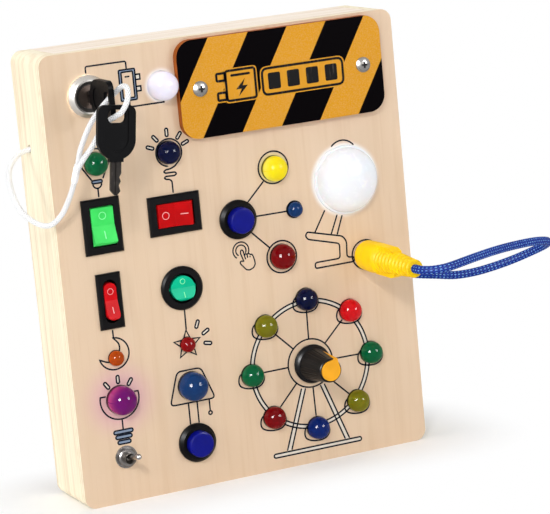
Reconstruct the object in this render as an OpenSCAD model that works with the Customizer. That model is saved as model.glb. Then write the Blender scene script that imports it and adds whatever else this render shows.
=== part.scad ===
// Wooden busy board: a shallow wooden box standing on its lower edge. Its front panel carries
// lamps, rocker switches, push buttons, a toggle, a rotary selector, a key lock and a plug lead.
// Millimetres. X to the right, Y from the front to the back, Z up; the origin is the middle of
// the face that the board stands on. Places on the panel are [from its left edge, from its foot].

/* [Board] */
// Width of the board
board_w = 198; // [196:1:206]
// Height of the board
board_h = 235; // [235:1:250]
// Depth of the box from the front face to the back face
board_t = 42; // [42:1:50]
// Thickness of the front panel
panel_t = 6; // [5:0.5:6.5]
// Thickness of the side, top and bottom rails
rail_t = 11; // [10:1:12]
// Thickness of the back panel
back_t = 4; // [3:0.5:4]
// Radius of the box's four outer corners
corner_r = 6; // [4:0.5:8]

/* [Rows and columns] */
// Middle of the first column of switches and lamps
col_a = 24.5; // [23:0.5:25]
// Middle of the second column of switches and lamps
col_b = 64.5; // [63.5:0.5:66]
// Height of the key lock and of the power lamp
row_lock = 212; // [211:0.5:213]
// Height of the two bulb lamps
row_bulb = 177.5; // [177:0.5:178.5]
// Height of the two large rocker switches
row_rocker = 145.5; // [145:0.5:146]
// Height of the narrow and the round rocker switches
row_small = 106.5; // [106:0.5:107]
// Height of the two small lamps
row_sky = 76.5; // [76:0.5:77]
// Height of the two table lamps
row_table = 54.5; // [54:0.5:55]
// Height of the toggle switch and of the lower push button
row_foot = 24; // [23:0.5:25]

/* [Key lock] */
// Radius of the lock's front flange
lock_flange_r = 10.8; // [10.5:0.1:11]
// Radius of the lock's turning cylinder
lock_cyl_r = 5.9; // [5.5:0.1:6]
// Width of a key's bow
bow_w = 20; // [18:0.5:20]
// Length of a key's bow, from its neck to its end
bow_l = 28; // [27:0.5:28]
// Thickness of a key's bow
bow_t = 2.8; // [2.4:0.1:3]

/* [Rocker switches] */
// Length of a large rocker's bezel
rocker_l = 28.6; // [28:0.2:29]
// Width of a large rocker's bezel
rocker_w = 20.6; // [20:0.2:21]
// Length of the narrow rocker's bezel
narrow_l = 29; // [28.6:0.2:29.4]
// Width of the narrow rocker's bezel
narrow_w = 13.2; // [13:0.2:14]
// Radius of the round rocker's bezel
round_r = 11.5; // [11.3:0.1:11.8]
// Height of a rocker's bezel above the panel
bezel_h = 2.2; // [2:0.1:2.4]
// Tilt of a paddle to either side
paddle_tilt = 10; // [8:1:11]

/* [Push buttons] */
// Place of the upper push button
button_a = [99.5, 137]; // [1:0.1:250]
// Radius of a button's bezel
button_r = 10.3; // [10:0.1:10.8]
// Radius of a button's cap
cap_r = 6.8; // [6.4:0.1:6.9]
// Height of a cap's top above the panel
cap_h = 7.4; // [6.6:0.2:8]
// Travel of a cap
cap_travel = 2.5; // [2:0.1:2.6]

/* [Toggle switch] */
// Tilt of the lever to either side
toggle_tilt = 13; // [10:1:14]
// Length of the lever from its pivot
lever_l = 17.5; // [15:0.5:18]

/* [Rotary selector] */
// Middle of the selector and of its ring of lamps
wheel = [134, 53.7]; // [1:0.1:250]
// Radius of the ring of lamps
wheel_r = 35; // [34.5:0.5:35.5]
// Number of lamps in the ring
wheel_n = 8; // [8:1:8]
// Height of the knob
knob_h = 23.5; // [20:0.5:25]
// Radius of the knob's skirt
skirt_r = 10.4; // [10:0.1:11]
// Angle of the pointer, clockwise from the top
pointer_angle = 33; // [0:1:90]

/* [Lamps] */
// Radius of a large lens
lens_l = 7.5; // [7:0.1:7.8]
// Straight barrel of a large lens, as a share of its radius
barrel_l = 0.5; // [0.3:0.05:0.6]
// Radius of a medium lens
lens_m = 6; // [5.5:0.1:6.2]
// Radius of the yellow and the dark red lens
lens_n = 6.7; // [6.4:0.1:6.9]
// Radius of a small lens
lens_s = 4; // [3.5:0.1:4.2]
// Place of the yellow lamp
lamp_y = [122.4, 160.5]; // [1:0.1:250]
// Place of the small blue lamp
lamp_b = [132.3, 137.2]; // [1:0.1:250]
// Place of the dark red lamp
lamp_r = [122.5, 113.6]; // [1:0.1:250]
// Place of the large dome lamp
dome = [163, 148.5]; // [1:0.1:250]
// Radius of the large dome
dome_r = 17.2; // [16.6:0.2:17.6]
// Width of the flange around the large dome
dome_flange = 1; // [0.6:0.1:1]
// Height of the large dome above the panel
dome_h = 13; // [9:0.5:14]

/* [Cover plate] */
// Middle of the cover plate
plate = [130.4, 208]; // [1:0.1:250]
// Width of the cover plate
plate_w = 116; // [114:1:117]
// Height of the cover plate
plate_h = 51; // [50:0.5:52]
// Thickness of the cover plate
plate_t = 4.5; // [4:0.5:5]
// Radius of the cover plate's corners
plate_r = 9; // [7:0.5:12]
// Distance between the cover plate's two screws
plate_screws_d = 93.3; // [92:0.1:94]

/* [Plug and jack] */
// Place of the jack
jack = [171.2, 106.7]; // [1:0.1:250]
// Length of the plug's moulded grip
grip_l = 55; // [50:1:56]
// Radius of the grip at the panel
grip_r = 8; // [7.6:0.1:8.2]
// Number of ribs on the grip's tail
rib_n = 9; // [6:1:10]

/* [Cords] */
// Diameter of the blue plug cord
cord_d = 4.6; // [4.2:0.1:4.8]
// Diameter of the white key cord
string_d = 2.8; // [2.6:0.1:3]

/* [Hidden] */

$fn = 48;
eps = 0.01;
slack = 0.2;          // gap between a fixed device and its hole in the panel
run_gap = 0.05;       // radial clearance of a running fit
front_y = -board_t/2;

// Wood screws
screw_r = 1.5;
pilot_r = 1.55;
back_screw_l = 13;
rebate_w = 6;         // width of the ledge that the back panel rests on

// The white cord's and the blue cord's holes in the side rails, [Y, Z]
string_hole = [6, 186];
cord_hole = [-1, 90];
tail_r = 0.8;         // extra radius of a cord's hole

// ---------------------------------------------------------------- frames of reference

// Puts a device on the panel: its own Z points out of the panel and its Y points up.
module on_front(place) {
    translate([place[0] - board_w/2, front_y, place[1]]) rotate([90, 0, 0]) children();
}

// Puts a profile drawn in [along Y, along Z] into a device, run along the device's X.
module across(width) {
    rotate([90, 0, 90]) linear_extrude(width, center = true) children();
}

// ---------------------------------------------------------------- shared shapes

module rounded_square(w, h, r) {
    square([w - 2*r, h], center = true);
    square([w, h - 2*r], center = true);
    for (x = [-1, 1], y = [-1, 1]) translate([x*(w/2 - r), y*(h/2 - r)]) circle(r);
}

module slot(l, w) {
    square([w, l - w], center = true);
    for (y = [-1, 1]) translate([0, y*(l - w)/2]) circle(w/2);
}

// A slab of the board's outline between two depths behind the front face
module board_slab(from, to) {
    translate([0, front_y + to, board_h/2]) rotate([90, 0, 0])
        linear_extrude(to - from) rounded_square(board_w, board_h, corner_r);
}

// A box with a chamfer round its front face, from z = 0 to h
module chamfered_box(l, w, h, c) {
    intersection() {
        across(w + 1) polygon([[-l/2, 0], [l/2, 0], [l/2, h - c], [l/2 - c, h],
                               [c - l/2, h], [-l/2, h - c]]);
        rotate([90, 0, 0]) linear_extrude(l + 1, center = true)
            polygon([[-w/2, 0], [w/2, 0], [w/2, h - c], [w/2 - c, h],
                     [c - w/2, h], [-w/2, h - c]]);
    }
}

// A hexagonal nut from z = 0 to t, given across its flats
module hex_nut(af, bore_r, t) {
    difference() {
        cylinder(h = t, r = af/sqrt(3), $fn = 6);
        translate([0, 0, -1]) cylinder(h = t + 2, r = bore_r);
    }
}

// Blade terminals under a switch, from z = top downwards
module terminals(top, spread, count, w = 4.8, l = 7) {
    for (i = [0:count - 1])
        translate([0, (i - (count - 1)/2)*spread, top - l/2])
            cube([w, 0.8, l + eps], center = true);
}

// A pan-head or flat-head screw pointing into the panel from z = 0, with a cross recess
module pan_screw(head_r, l) {
    difference() {
        union() {
            cylinder(h = 1, r = head_r);
            translate([0, 0, 1]) intersection() {
                translate([0, 0, -4.5]) sphere(sqrt(4.5*4.5 + head_r*head_r));
                cylinder(h = 3, r = head_r);
            }
        }
        cross_recess(1.2);
    }
    translate([0, 0, -l]) cylinder(h = l + eps, r = screw_r);
}

module flat_screw(head_r, l) {
    difference() {
        translate([0, 0, -head_r]) cylinder(h = head_r, r1 = 0.4, r2 = head_r);
        cross_recess(-1.2);
    }
    translate([0, 0, -l]) cylinder(h = l - head_r/2, r = screw_r);
}

module cross_recess(z) {
    for (a = [0, 90]) rotate(a) translate([0, 0, z + 2]) cube([3.4, 0.8, 4], center = true);
}

// ---------------------------------------------------------------- wooden box

rail_inner_w = board_w - 2*rail_t;
back_w = rail_inner_w + 2*rebate_w - 0.6;
back_h = board_h - 2*rail_t + 2*rebate_w - 0.6;
battery_bay = [62, 33];                  // opening in the panel under the cover plate
bay_place = plate - [0, 1.5];            // middle of that opening, clear of the top rail

// Middles of the back panel's screws, [X, Z]
back_screw_places = concat(
    [for (x = [-1, 1], z = [0.08, 0.5, 0.92]) [x*(back_w/2 - 3), board_h*z]],
    [for (z = [rail_t - 3, board_h - rail_t + 3]) [0, z]]
);

module panel_hole(place) {
    on_front(place) translate([0, 0, -panel_t - 1]) linear_extrude(panel_t + 2) children();
}

function lamp_places() = [
    [[col_b, row_lock], lens_l], [[col_a, row_bulb], lens_m], [[col_b, row_bulb], lens_m],
    [lamp_y, lens_n], [lamp_b, lens_s], [lamp_r, lens_n],
    [[col_a, row_sky], lens_s], [[col_b, row_sky], lens_s],
    [[col_a, row_table], lens_l], [[col_b, row_table], lens_l]
];

function wheel_place(i) = [
    wheel[0] + wheel_r*sin(i*360/wheel_n), wheel[1] + wheel_r*cos(i*360/wheel_n)
];

module front_panel() color("BurlyWood") difference() {
    board_slab(0, panel_t);
    for (lamp = lamp_places()) panel_hole(lamp[0]) circle(lamp[1] + slack);
    for (i = [0:wheel_n - 1]) panel_hole(wheel_place(i)) circle(lens_m + slack);
    panel_hole(dome) circle(dome_spigot_r + slack);
    panel_hole([col_a, row_lock]) circle(lock_barrel_r + slack);
    panel_hole([col_a, row_rocker]) square([rocker_box_w, rocker_box_l] + 2*[slack, slack],
                                           center = true);
    panel_hole([col_b, row_rocker]) square([rocker_box_l, rocker_box_w] + 2*[slack, slack],
                                           center = true);
    panel_hole([col_a, row_small]) square([narrow_box_w, narrow_box_l] + 2*[slack, slack],
                                          center = true);
    panel_hole([col_b, row_small]) circle(round_barrel_r + slack);
    for (place = [button_a, [col_b, row_foot]]) panel_hole(place)
        circle(button_barrel_r + slack);
    panel_hole([col_a, row_foot]) circle(toggle_bush_r + slack);
    panel_hole(wheel) circle(rotary_bush_r + slack);
    panel_hole(jack) circle(jack_barrel_r + slack);
    panel_hole(bay_place) square(battery_bay, center = true);
    for (s = [-1, 1]) panel_hole(plate + [s*plate_screws_d/2, 0]) circle(pilot_r);
}

// The frame's four rails, with the back panel's rebate and its pilot holes taken out
module frame_ring() difference() {
    board_slab(panel_t, board_t);
    translate([0, 0, board_h/2])
        cube([rail_inner_w, 2*board_t, board_h - 2*rail_t], center = true);
    translate([0, board_t/2, board_h/2])
        cube([back_w + 0.6, 2*back_t, back_h + 0.6], center = true);
    for (place = back_screw_places)
        translate([place[0], board_t/2 + 1, place[1]]) rotate([90, 0, 0])
            cylinder(h = back_screw_l + 2.5, r = pilot_r);
}

module side_rail(side) color("Wheat") difference() {
    intersection() {
        frame_ring();
        translate([side*(board_w/2 - rail_t/2), 0, board_h/2])
            cube([rail_t, 2*board_t, board_h + 2], center = true);
    }
    hole = side < 0 ? string_hole : cord_hole;
    d = side < 0 ? string_d : cord_d;
    translate([side*(board_w/2 - rail_t - 1), hole[0], hole[1]]) rotate([0, side*90, 0])
        cylinder(h = rail_t + 2, r = d/2 + tail_r);
}

module cross_rail(z) color("Wheat") intersection() {
    frame_ring();
    translate([0, 0, z]) cube([rail_inner_w, 2*board_t, rail_t], center = true);
}

module left_rail() side_rail(-1);

module right_rail() side_rail(1);

module top_rail() cross_rail(board_h - rail_t/2);

module bottom_rail() cross_rail(rail_t/2);

module back_panel() color("Tan") difference() {
    translate([0, board_t/2 - back_t/2, board_h/2]) cube([back_w, back_t, back_h], center = true);
    for (place = back_screw_places) translate([place[0], board_t/2 + eps, place[1]])
        rotate([90, 0, 0]) {
            cylinder(h = 3, r1 = 3.06, r2 = 0.46);
            cylinder(h = back_t + 1, r = pilot_r);
        }
}

module screws() color("Silver") {
    for (s = [-1, 1]) on_front(plate + [s*plate_screws_d/2, 0])
        translate([0, 0, plate_t]) pan_screw(4, plate_t + panel_t + 2);
    for (place = back_screw_places) translate([place[0], board_t/2, place[1]])
        rotate([-90, 0, 0]) flat_screw(3, back_screw_l);
}

// ---------------------------------------------------------------- cover plate and batteries

cell_r = 7.1;
cell_l = 48.5;
cell_pitch = 15;
holder_depth = 16.5;

module cover_plate() color("Goldenrod") on_front(plate) difference() {
    linear_extrude(plate_t) rounded_square(plate_w, plate_h, plate_r);
    for (s = [-1, 1]) translate([s*plate_screws_d/2, 0, -1]) cylinder(h = plate_t + 2,
                                                                      r = pilot_r);
}

// Tray for two cells side by side, let into the panel's bay and open to the front
module battery_holder() color("DimGray") on_front(bay_place) difference() {
    translate([0, 0, -holder_depth/2 - 0.5])
        cube([battery_bay[0] - 2*slack, battery_bay[1] - 2*slack, holder_depth], center = true);
    translate([0, 0, -cell_r - 0.8]) for (y = [-1, 1]) translate([0, y*cell_pitch/2, 0])
        cell_pocket();
    for (x = [-1, 1]) translate([x*(battery_bay[0]/2 - 3.3), 0, -cell_r - 0.6])
        cube([1.6, 26, 2*cell_r], center = true);
}

module cell_pocket() {
    rotate([0, 90, 0]) cylinder(h = cell_l + 6, r = cell_r + 0.15, center = true);
    translate([0, 0, cell_r]) cube([cell_l + 6, 2*cell_r + 0.3, 2*cell_r], center = true);
}

module batteries() color("DarkSlateGray") on_front(bay_place)
    translate([0, 0, -cell_r - 0.8]) for (s = [-1, 1])
        translate([0, s*cell_pitch/2, 0]) rotate([0, s*90, 0]) cell();

module cell() {
    translate([0, 0, -cell_l/2]) cylinder(h = cell_l - 1, r = cell_r);
    translate([0, 0, cell_l/2 - 1 - eps]) cylinder(h = 1 + eps, r = 2.7);
}

// A contact plate at each end of the tray, with a button at each cell's tip
module battery_contacts() color("LightSteelBlue") on_front(bay_place)
    for (x = [-1, 1]) translate([x*(battery_bay[0]/2 - 3.3), 0, -cell_r - 0.8]) {
        cube([0.6, 25, 10], center = true);
        for (y = [-1, 1]) translate([-x*1.3, y*cell_pitch/2, 0]) rotate([0, 90, 0])
            cylinder(h = 2.2, r1 = x > 0 ? 2 : 3.5, r2 = x > 0 ? 3.5 : 2, center = true);
    }

// ---------------------------------------------------------------- key lock and keys

lock_barrel_r = 9.2;
lock_face = 3.6;                         // height of the lock's face above the panel
lock_depth = 24;
cyl_depth = 18;
blade_t = 2;
blade_w = 5.4;
bow_start = lock_face + 2;               // the bow's neck, above the panel
lock_place = [col_a, row_lock];

module lock_body() color("Gainsboro") on_front(lock_place) difference() {
    union() {
        rotate_extrude() polygon([[0, 0], [lock_flange_r, 0], [lock_flange_r, 1.2],
                                  [lock_flange_r - 1.4, 2.8], [8.6, lock_face], [0, lock_face]]);
        translate([0, 0, -lock_depth]) cylinder(h = lock_depth + eps, r = lock_barrel_r);
        translate([0, 0, -lock_depth - 5]) cylinder(h = 5 + eps, r = 6);
        terminals(-lock_depth - 5, 6, 2, 3, 5);
    }
    translate([0, 0, -cyl_depth - 0.1]) cylinder(h = 2*lock_depth, r = lock_cyl_r + run_gap);
    translate([0, 0, lock_face - 1.4]) cylinder(h = 3, r1 = 6.2, r2 = 9);
}

module lock_cylinder() color("RosyBrown") on_front(lock_place) difference() {
    translate([0, 0, -cyl_depth]) cylinder(h = cyl_depth + lock_face - 1.2, r = lock_cyl_r);
    translate([0, 0, 1]) cube([blade_t + 0.16, blade_w + 0.16, 2*cyl_depth], center = true);
}

// A key drawn flat: its blade points to -X from the neck at the origin, its bow to +X. The bow
// is round towards the neck and square at its end.
module key_bow_outline() difference() {
    union() {
        translate([2, 0]) square([4, neck_w], center = true);
        translate([bow_w/2 + 1, 0]) circle(bow_w/2);
        translate([bow_w/2 + 1, -bow_w/2]) square([bow_l - bow_w/2 - 5, bow_w]);
        translate([bow_l - 6, 0]) rounded_square(12, bow_w, 4);
    }
    translate([bow_l - eye_inset, 0]) rounded_square(bow_eye[0], bow_eye[1], 2.5);
}

neck_w = 7.4;                            // width of the bow at its neck
bow_eye = [6.6, 9.2];                    // the hole that the cord goes through
eye_inset = 5.5;                         // from the bow's end to the middle of its eye
grip_panel_r = 6.2;                      // half the width of the bow's sunk grip panel
grip_panel_x = 11.4;                     // from the neck to where its round end starts
blade_l = 17;

module bow_solid() difference() {
    linear_extrude(bow_t, center = true) key_bow_outline();
    // A shallow grip panel on both faces, round at its lower end
    for (s = [-1, 1]) translate([0, 0, s*(bow_t/2)]) linear_extrude(0.8, center = true) {
        translate([grip_panel_x, 0]) circle(grip_panel_r);
        translate([(grip_panel_x + bow_l - 2)/2, 0])
            square([bow_l - 2 - grip_panel_x, 2*grip_panel_r], center = true);
    }
}

module blade_solid(l) difference() {
    linear_extrude(blade_t, center = true) polygon([
        [0, -blade_w/2], [0, blade_w/2], [-l + 2.5, blade_w/2], [-l, 0.6], [-l, -0.6],
        [-l + 2, -blade_w/2 + 0.4], [-l + 5, -blade_w/2 + 1.2], [-l + 7, -blade_w/2 + 0.2],
        [-l + 9, -blade_w/2 + 1], [-l + 11, -blade_w/2]
    ]);
    for (s = [-1, 1]) translate([-l/2, 0.6, s*blade_t/2]) cube([l + 2, 1.2, 0.9],
                                                               center = true);
}

// Stands a flat key in the lock, its bow in an upright plane
module in_lock() on_front(lock_place) translate([0, 0, bow_start]) rotate([0, -90, 0])
    children();

module key_blade() color("DimGray") in_lock() blade_solid(blade_l);

module key_bow() color("#1c1c1e") in_lock() bow_solid();

// The spare key hangs by its eye from the cord, in front of the lock
spare_place = [-76, -61.5, 205.6];     // middle of its eye
spare_lean = 7;                          // its tip leans to the left
spare_blade_l = 16.5;

module hanging() translate(spare_place) rotate([0, spare_lean - 90, 0]) rotate([90, 0, 0])
    translate([eye_inset - bow_l, 0, 0]) children();

module spare_key_blade() color("DimGray") hanging() blade_solid(spare_blade_l);

module spare_key_bow() color("#1c1c1e") hanging() bow_solid();

// ---------------------------------------------------------------- cords

// Points of the smooth curve through a route, steps to a stretch
function route_point(p, i, t) =
    let (a = p[max(i - 1, 0)], b = p[i], c = p[i + 1], d = p[min(i + 2, len(p) - 1)])
    0.5*(2*b + (c - a)*t + (2*a - 5*b + 4*c - d)*t*t + (3*b - a - 3*c + d)*t*t*t);

function smooth_route(p, steps) = concat(
    [for (i = [0:len(p) - 2], k = [0:steps - 1]) route_point(p, i, k/steps)],
    [p[len(p) - 1]]
);

function unit(v) = v/norm(v);

function tangents(p) = [
    for (i = [0:len(p) - 1]) unit(p[min(i + 1, len(p) - 1)] - p[max(i - 1, 0)])
];

// A normal for each ring, each the one before it turned as little as the curve asks
function normals(t, i = 0, n = undef) =
    let (first = cross(t[0], [0.31, 0.52, 0.79]),
         m = i == 0 ? unit(first) : unit(n - (n*t[i])*t[i]))
    i == len(t) - 1 ? [m] : concat([m], normals(t, i + 1, m));

// A tube of one closed surface along a list of points
module tube(p, d, sides) {
    t = tangents(p);
    n = normals(t);
    rings = len(p);
    points = concat(
        [for (i = [0:rings - 1], k = [0:sides - 1])
            let (b = cross(t[i], n[i]), a = 360*k/sides)
            p[i] + d/2*(cos(a)*n[i] + sin(a)*b)],
        [p[0], p[rings - 1]]
    );
    last = (rings - 1)*sides;
    faces = concat(
        [for (i = [0:rings - 2], k = [0:sides - 1])
            let (a = i*sides + k, b = i*sides + (k + 1)%sides) [a, b + sides, b]],
        [for (i = [0:rings - 2], k = [0:sides - 1])
            let (a = i*sides + k, b = i*sides + (k + 1)%sides) [a, a + sides, b + sides]],
        [for (k = [0:sides - 1]) [rings*sides, k, (k + 1)%sides]],
        [for (k = [0:sides - 1]) [rings*sides + 1, last + (k + 1)%sides, last + k]]
    );
    polyhedron(points, faces);
}

// From inside the left rail, in a hanging loop to the sleeve, up through the eye of the key in
// the lock, over and back through the spare key's eye and down into the sleeve
string_route = [
    [-90, 6, 186], [-98, 6, 186], [-106, 5, 184], [-113, 0, 178], [-116, -8, 170],
    [-115, -15, 160], [-110, -21, 153], [-104, -26, 151], [-99, -31, 156], [-96, -36, 164],
    [-93.5, -40, 173], [-92, -43, 181], [-90, -45, 190], [-84.5, -46.5, 201],
    [-79, -48, 208], [-74.6, -49, 212.4], [-71, -51, 216], [-69.3, -55.3, 218.7],
    [-69, -60.8, 219.2], [-70.2, -66, 217.2], [-72.4, -68.7, 212.8], [-74.7, -66.6, 208],
    [-76.3, -61.6, 205.6], [-78.8, -56.2, 202.6], [-82.4, -53, 197.2], [-86.3, -51, 190.8],
    [-90.3, -48.7, 185.3], [-93, -46, 180.3], [-94.3, -43.4, 175.5]
];
sleeve_place = [-93.2, -43, 177.7];

// From inside the right rail, out in a long loop and back into the tail of the plug
cord_route = [
    [89, -1, 90], [99, -1, 90], [110, -2, 87], [121.5, -4.5, 85], [132, -7.5, 83.5],
    [142, -11, 84], [152, -15, 86], [161.5, -20, 89], [169, -27, 93], [172.5, -35.5, 97],
    [170.5, -44, 100.5], [164, -50.5, 103], [153, -57, 105], [137, -65, 106.5],
    [121, -73.5, 107.5], [106, -82, 108], [97, -86.6, 108], [89.5, -89.9, 107.8],
    [82.6, -91.4, 107.4], [76.6, -89.6, 107], [73.2, -85, 106.8], [72.2, -79, 106.7],
    [72.2, -73, 106.7]
];

module key_cord() color("White") tube(smooth_route(string_route, 2), string_d, 8);

// An oval sleeve round the two strands, in line with them
module key_cord_knot() color("White") translate(sleeve_place) rotate([0, 21, -61]) rotate(32) {
    linear_extrude(7.6, center = true) slot(6.4, 3.6);
    linear_extrude(9, center = true) slot(5.8, 3);
}

module plug_cord() color("RoyalBlue") tube(smooth_route(cord_route, 1), cord_d, 10);

// ---------------------------------------------------------------- rocker switches

pivot_z = -0.8;                          // depth of a paddle's pivot
pin_r = 1.2;
pin_l = 1;
paddle_rise = 3.2;                       // paddle's middle above its pivot
paddle_drop = 5;                         // paddle's flat underside below its pivot
cavity_drop = 8;
side_gap = 0.35;                         // gap between a paddle and its opening
rocker_depth = 18;

rocker_box_l = rocker_l - 4;
rocker_box_w = rocker_w - 2.4;
rocker_swing = (rocker_l - 8.4)/2;
rocker_paddle_w = rocker_w - 8.4;
narrow_box_l = narrow_l - 3.4;
narrow_box_w = narrow_w - 2;
narrow_swing = (narrow_l - 7)/2;
narrow_paddle_w = 6.8;
round_barrel_r = 9.8;
round_swing = 7;
round_paddle_r = 6.6;
round_opening_r = 7.9;

// Side view of a paddle: two faces that meet in a shallow valley, ends on a circle about the
// pivot, tipped so that its +Y end is pressed in
module paddle_side(swing) rotate(-paddle_tilt) intersection() {
    circle(swing);
    polygon([[-swing - 1, -paddle_drop], [swing + 1, -paddle_drop],
             [swing + 1, paddle_rise + (swing + 1)*tan(paddle_tilt)], [0, paddle_rise],
             [-swing - 1, paddle_rise + (swing + 1)*tan(paddle_tilt)]]);
}

module pivot_pins(w) translate([0, 0, pivot_z]) rotate([0, 90, 0])
    cylinder(h = w + 2*pin_l, r = pin_r, center = true);

module pivot_bores(w) translate([0, 0, pivot_z]) rotate([0, 90, 0])
    cylinder(h = w + 2*pin_l + 0.4, r = pin_r + run_gap, center = true);

module paddle(swing, w) {
    translate([0, 0, pivot_z]) across(w) paddle_side(swing);
    pivot_pins(w);
}

// The bezel on the panel, the box behind it and the blades below, round a cavity
module rocker_housing(l, w, box_l, box_w, paddle_w) difference() {
    union() {
        chamfered_box(l, w, bezel_h, 0.9);
        translate([0, 0, -rocker_depth/2]) cube([box_w, box_l, rocker_depth + eps],
                                                center = true);
        terminals(-rocker_depth, 7, 3);
    }
    translate([0, 0, pivot_z - cavity_drop]) linear_extrude(20) children();
    pivot_bores(paddle_w + 2*side_gap);
}

module large_housing() rocker_housing(rocker_l, rocker_w, rocker_box_l, rocker_box_w,
                                      rocker_paddle_w)
    square([rocker_paddle_w, 2*rocker_swing] + 2*[side_gap, side_gap], center = true);

module green_rocker_housing() color("#1d1f22") on_front([col_a, row_rocker]) large_housing();

module green_rocker_paddle() color("LimeGreen") on_front([col_a, row_rocker])
    paddle(rocker_swing, rocker_paddle_w);

module red_rocker_housing() color("#1d1f22") on_front([col_b, row_rocker]) rotate(90)
    large_housing();

module red_rocker_paddle() color("Red") on_front([col_b, row_rocker]) rotate(90)
    paddle(rocker_swing, rocker_paddle_w);

module narrow_rocker_housing() color("#1d1f22") on_front([col_a, row_small])
    rocker_housing(narrow_l, narrow_w, narrow_box_l, narrow_box_w, narrow_paddle_w)
        slot(2*(narrow_swing + side_gap), narrow_paddle_w + 2*side_gap);

module narrow_rocker_paddle() color("Crimson") on_front([col_a, row_small]) {
    intersection() {
        translate([0, 0, pivot_z]) across(narrow_paddle_w) paddle_side(narrow_swing - 0.3);
        translate([0, 0, -20]) linear_extrude(40) slot(2*(narrow_swing - 1.4),
                                                       narrow_paddle_w);
    }
    pivot_pins(narrow_paddle_w);
}

module round_rocker_housing() color("#1d1f22") on_front([col_b, row_small]) difference() {
    union() {
        rotate_extrude() polygon([[0, 0], [round_r, 0], [round_r, 1.2], [round_r - 1, bezel_h],
                                  [0, bezel_h]]);
        translate([0, 0, -rocker_depth]) cylinder(h = rocker_depth + eps, r = round_barrel_r);
        terminals(-rocker_depth, 7, 2);
    }
    translate([0, 0, pivot_z - cavity_drop]) cylinder(h = 20, r = round_opening_r);
    pivot_bores(2*round_opening_r);
}

module round_rocker_paddle() color("MediumSeaGreen") on_front([col_b, row_small]) {
    intersection() {
        translate([0, 0, pivot_z]) across(2*round_swing) paddle_side(round_swing);
        translate([0, 0, -20]) cylinder(h = 40, r = round_paddle_r);
    }
    pivot_pins(2*round_opening_r - 0.4);
}

// ---------------------------------------------------------------- push buttons

button_barrel_r = 8.8;
button_depth = 15;
button_bezel_h = 3;
collar_r = 7.5;                          // the cap's collar, kept in by the bezel's lip
cap_foot = 3;                            // the cap's foot, below the panel's face

module button_housing() difference() {
    union() {
        rotate_extrude() polygon([[0, 0], [button_r, 0], [button_r, 1.4],
                                  [button_r - 1.6, button_bezel_h], [0, button_bezel_h]]);
        translate([0, 0, -button_depth]) cylinder(h = button_depth + eps, r = button_barrel_r);
        terminals(-button_depth, 7, 2, 3, 6);
    }
    well = cap_foot + cap_travel + 0.5;
    translate([0, 0, -well]) cylinder(h = 20, r = cap_r + 0.2);
    translate([0, 0, -well]) cylinder(h = well + 1, r = collar_r + 0.3);
}

module button_cap() rotate_extrude() polygon([
    [0, -cap_foot], [collar_r, -cap_foot], [collar_r, 0.8], [cap_r, 0.8], [cap_r, cap_h - 0.9],
    [cap_r - 0.3, cap_h - 0.35], [cap_r - 0.9, cap_h - 0.05], [cap_r - 1.6, cap_h],
    [0, cap_h]
]);

module upper_button_housing() color("#1d1f22") on_front(button_a) button_housing();

module upper_button_cap() color("MediumBlue") on_front(button_a) button_cap();

module lower_button_housing() color("#1d1f22") on_front([col_b, row_foot]) button_housing();

module lower_button_cap() color("MediumBlue") on_front([col_b, row_foot]) button_cap();

// ---------------------------------------------------------------- toggle switch

toggle_bush_r = 3;
toggle_bush_h = 6;
toggle_pivot_z = 2.6;
lever_ball_r = 2.2;
lever_pin_r = 0.7;                       // pin that the lever turns on
lever_pin_l = 5.2;

module toggle_body() color("SteelBlue") on_front([col_a, row_foot]) difference() {
    union() {
        translate([0, 0, -panel_t - 5.5]) cube([8, 13, 9], center = true);
        translate([0, 0, -panel_t - 1]) cylinder(h = panel_t + 1 + toggle_bush_h,
                                                 r = toggle_bush_r);
        terminals(-panel_t - 10, 4.7, 3, 2, 4);
    }
    translate([0, 0, -0.2]) cylinder(h = 20, r = lever_ball_r + run_gap);
    translate([0, 0, toggle_pivot_z]) rotate([0, 90, 0])
        cylinder(h = lever_pin_l + 0.3, r = lever_pin_r + run_gap, center = true);
    translate([0, 0, toggle_bush_h - 0.8]) cylinder(h = 1, r1 = 2.2, r2 = 2.8);
}

// A washer under a round ring nut with a bevelled edge
module toggle_nut() color("Silver") on_front([col_a, row_foot]) difference() {
    rotate_extrude() polygon([[0, 0], [5.9, 0], [5.9, 0.8], [4.9, 0.8], [4.9, 2.6], [4.3, 3.2],
                              [0, 3.2]]);
    translate([0, 0, -1]) cylinder(h = 6, r = toggle_bush_r + run_gap);
}

module toggle_lever() color("Silver") on_front([col_a, row_foot])
    translate([0, 0, toggle_pivot_z]) rotate([-toggle_tilt, 0, 0]) {
        sphere(lever_ball_r);
        rotate([0, 90, 0]) cylinder(h = lever_pin_l, r = lever_pin_r, center = true);
        cylinder(h = lever_l - 1.6, r1 = 1.1, r2 = 1.5);
        translate([0, 0, lever_l - 1.6]) sphere(1.6);
    }

// ---------------------------------------------------------------- rotary selector

rotary_bush_r = 4.5;
rotary_bush_h = 5;
shaft_r = 3;
knob_foot = 0.8;                         // gap under the knob's skirt
knob_neck_r = 8.7;
knob_top_r = 6.3;
flute_n = 18;
knob_slope = atan((knob_neck_r - knob_top_r)/(knob_h - 4));

module rotary_body() color("Silver") on_front(wheel) difference() {
    union() {
        translate([0, 0, -panel_t - 9]) cylinder(h = 9, r = 8.2);
        translate([0, 0, -panel_t - 1]) cylinder(h = panel_t + 1 + rotary_bush_h,
                                                 r = rotary_bush_r);
        for (i = [-1:1]) translate([i*5, -9.5, -panel_t - 5]) cube([1.4, 6, 0.8],
                                                                   center = true);
    }
    translate([0, 0, -panel_t - 6]) cylinder(h = 40, r = shaft_r + run_gap);
}

module rotary_shaft() color("LightGray") on_front(wheel)
    translate([0, 0, -panel_t - 5.8]) cylinder(h = panel_t + 5.8 + 17, r = shaft_r);

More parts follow.
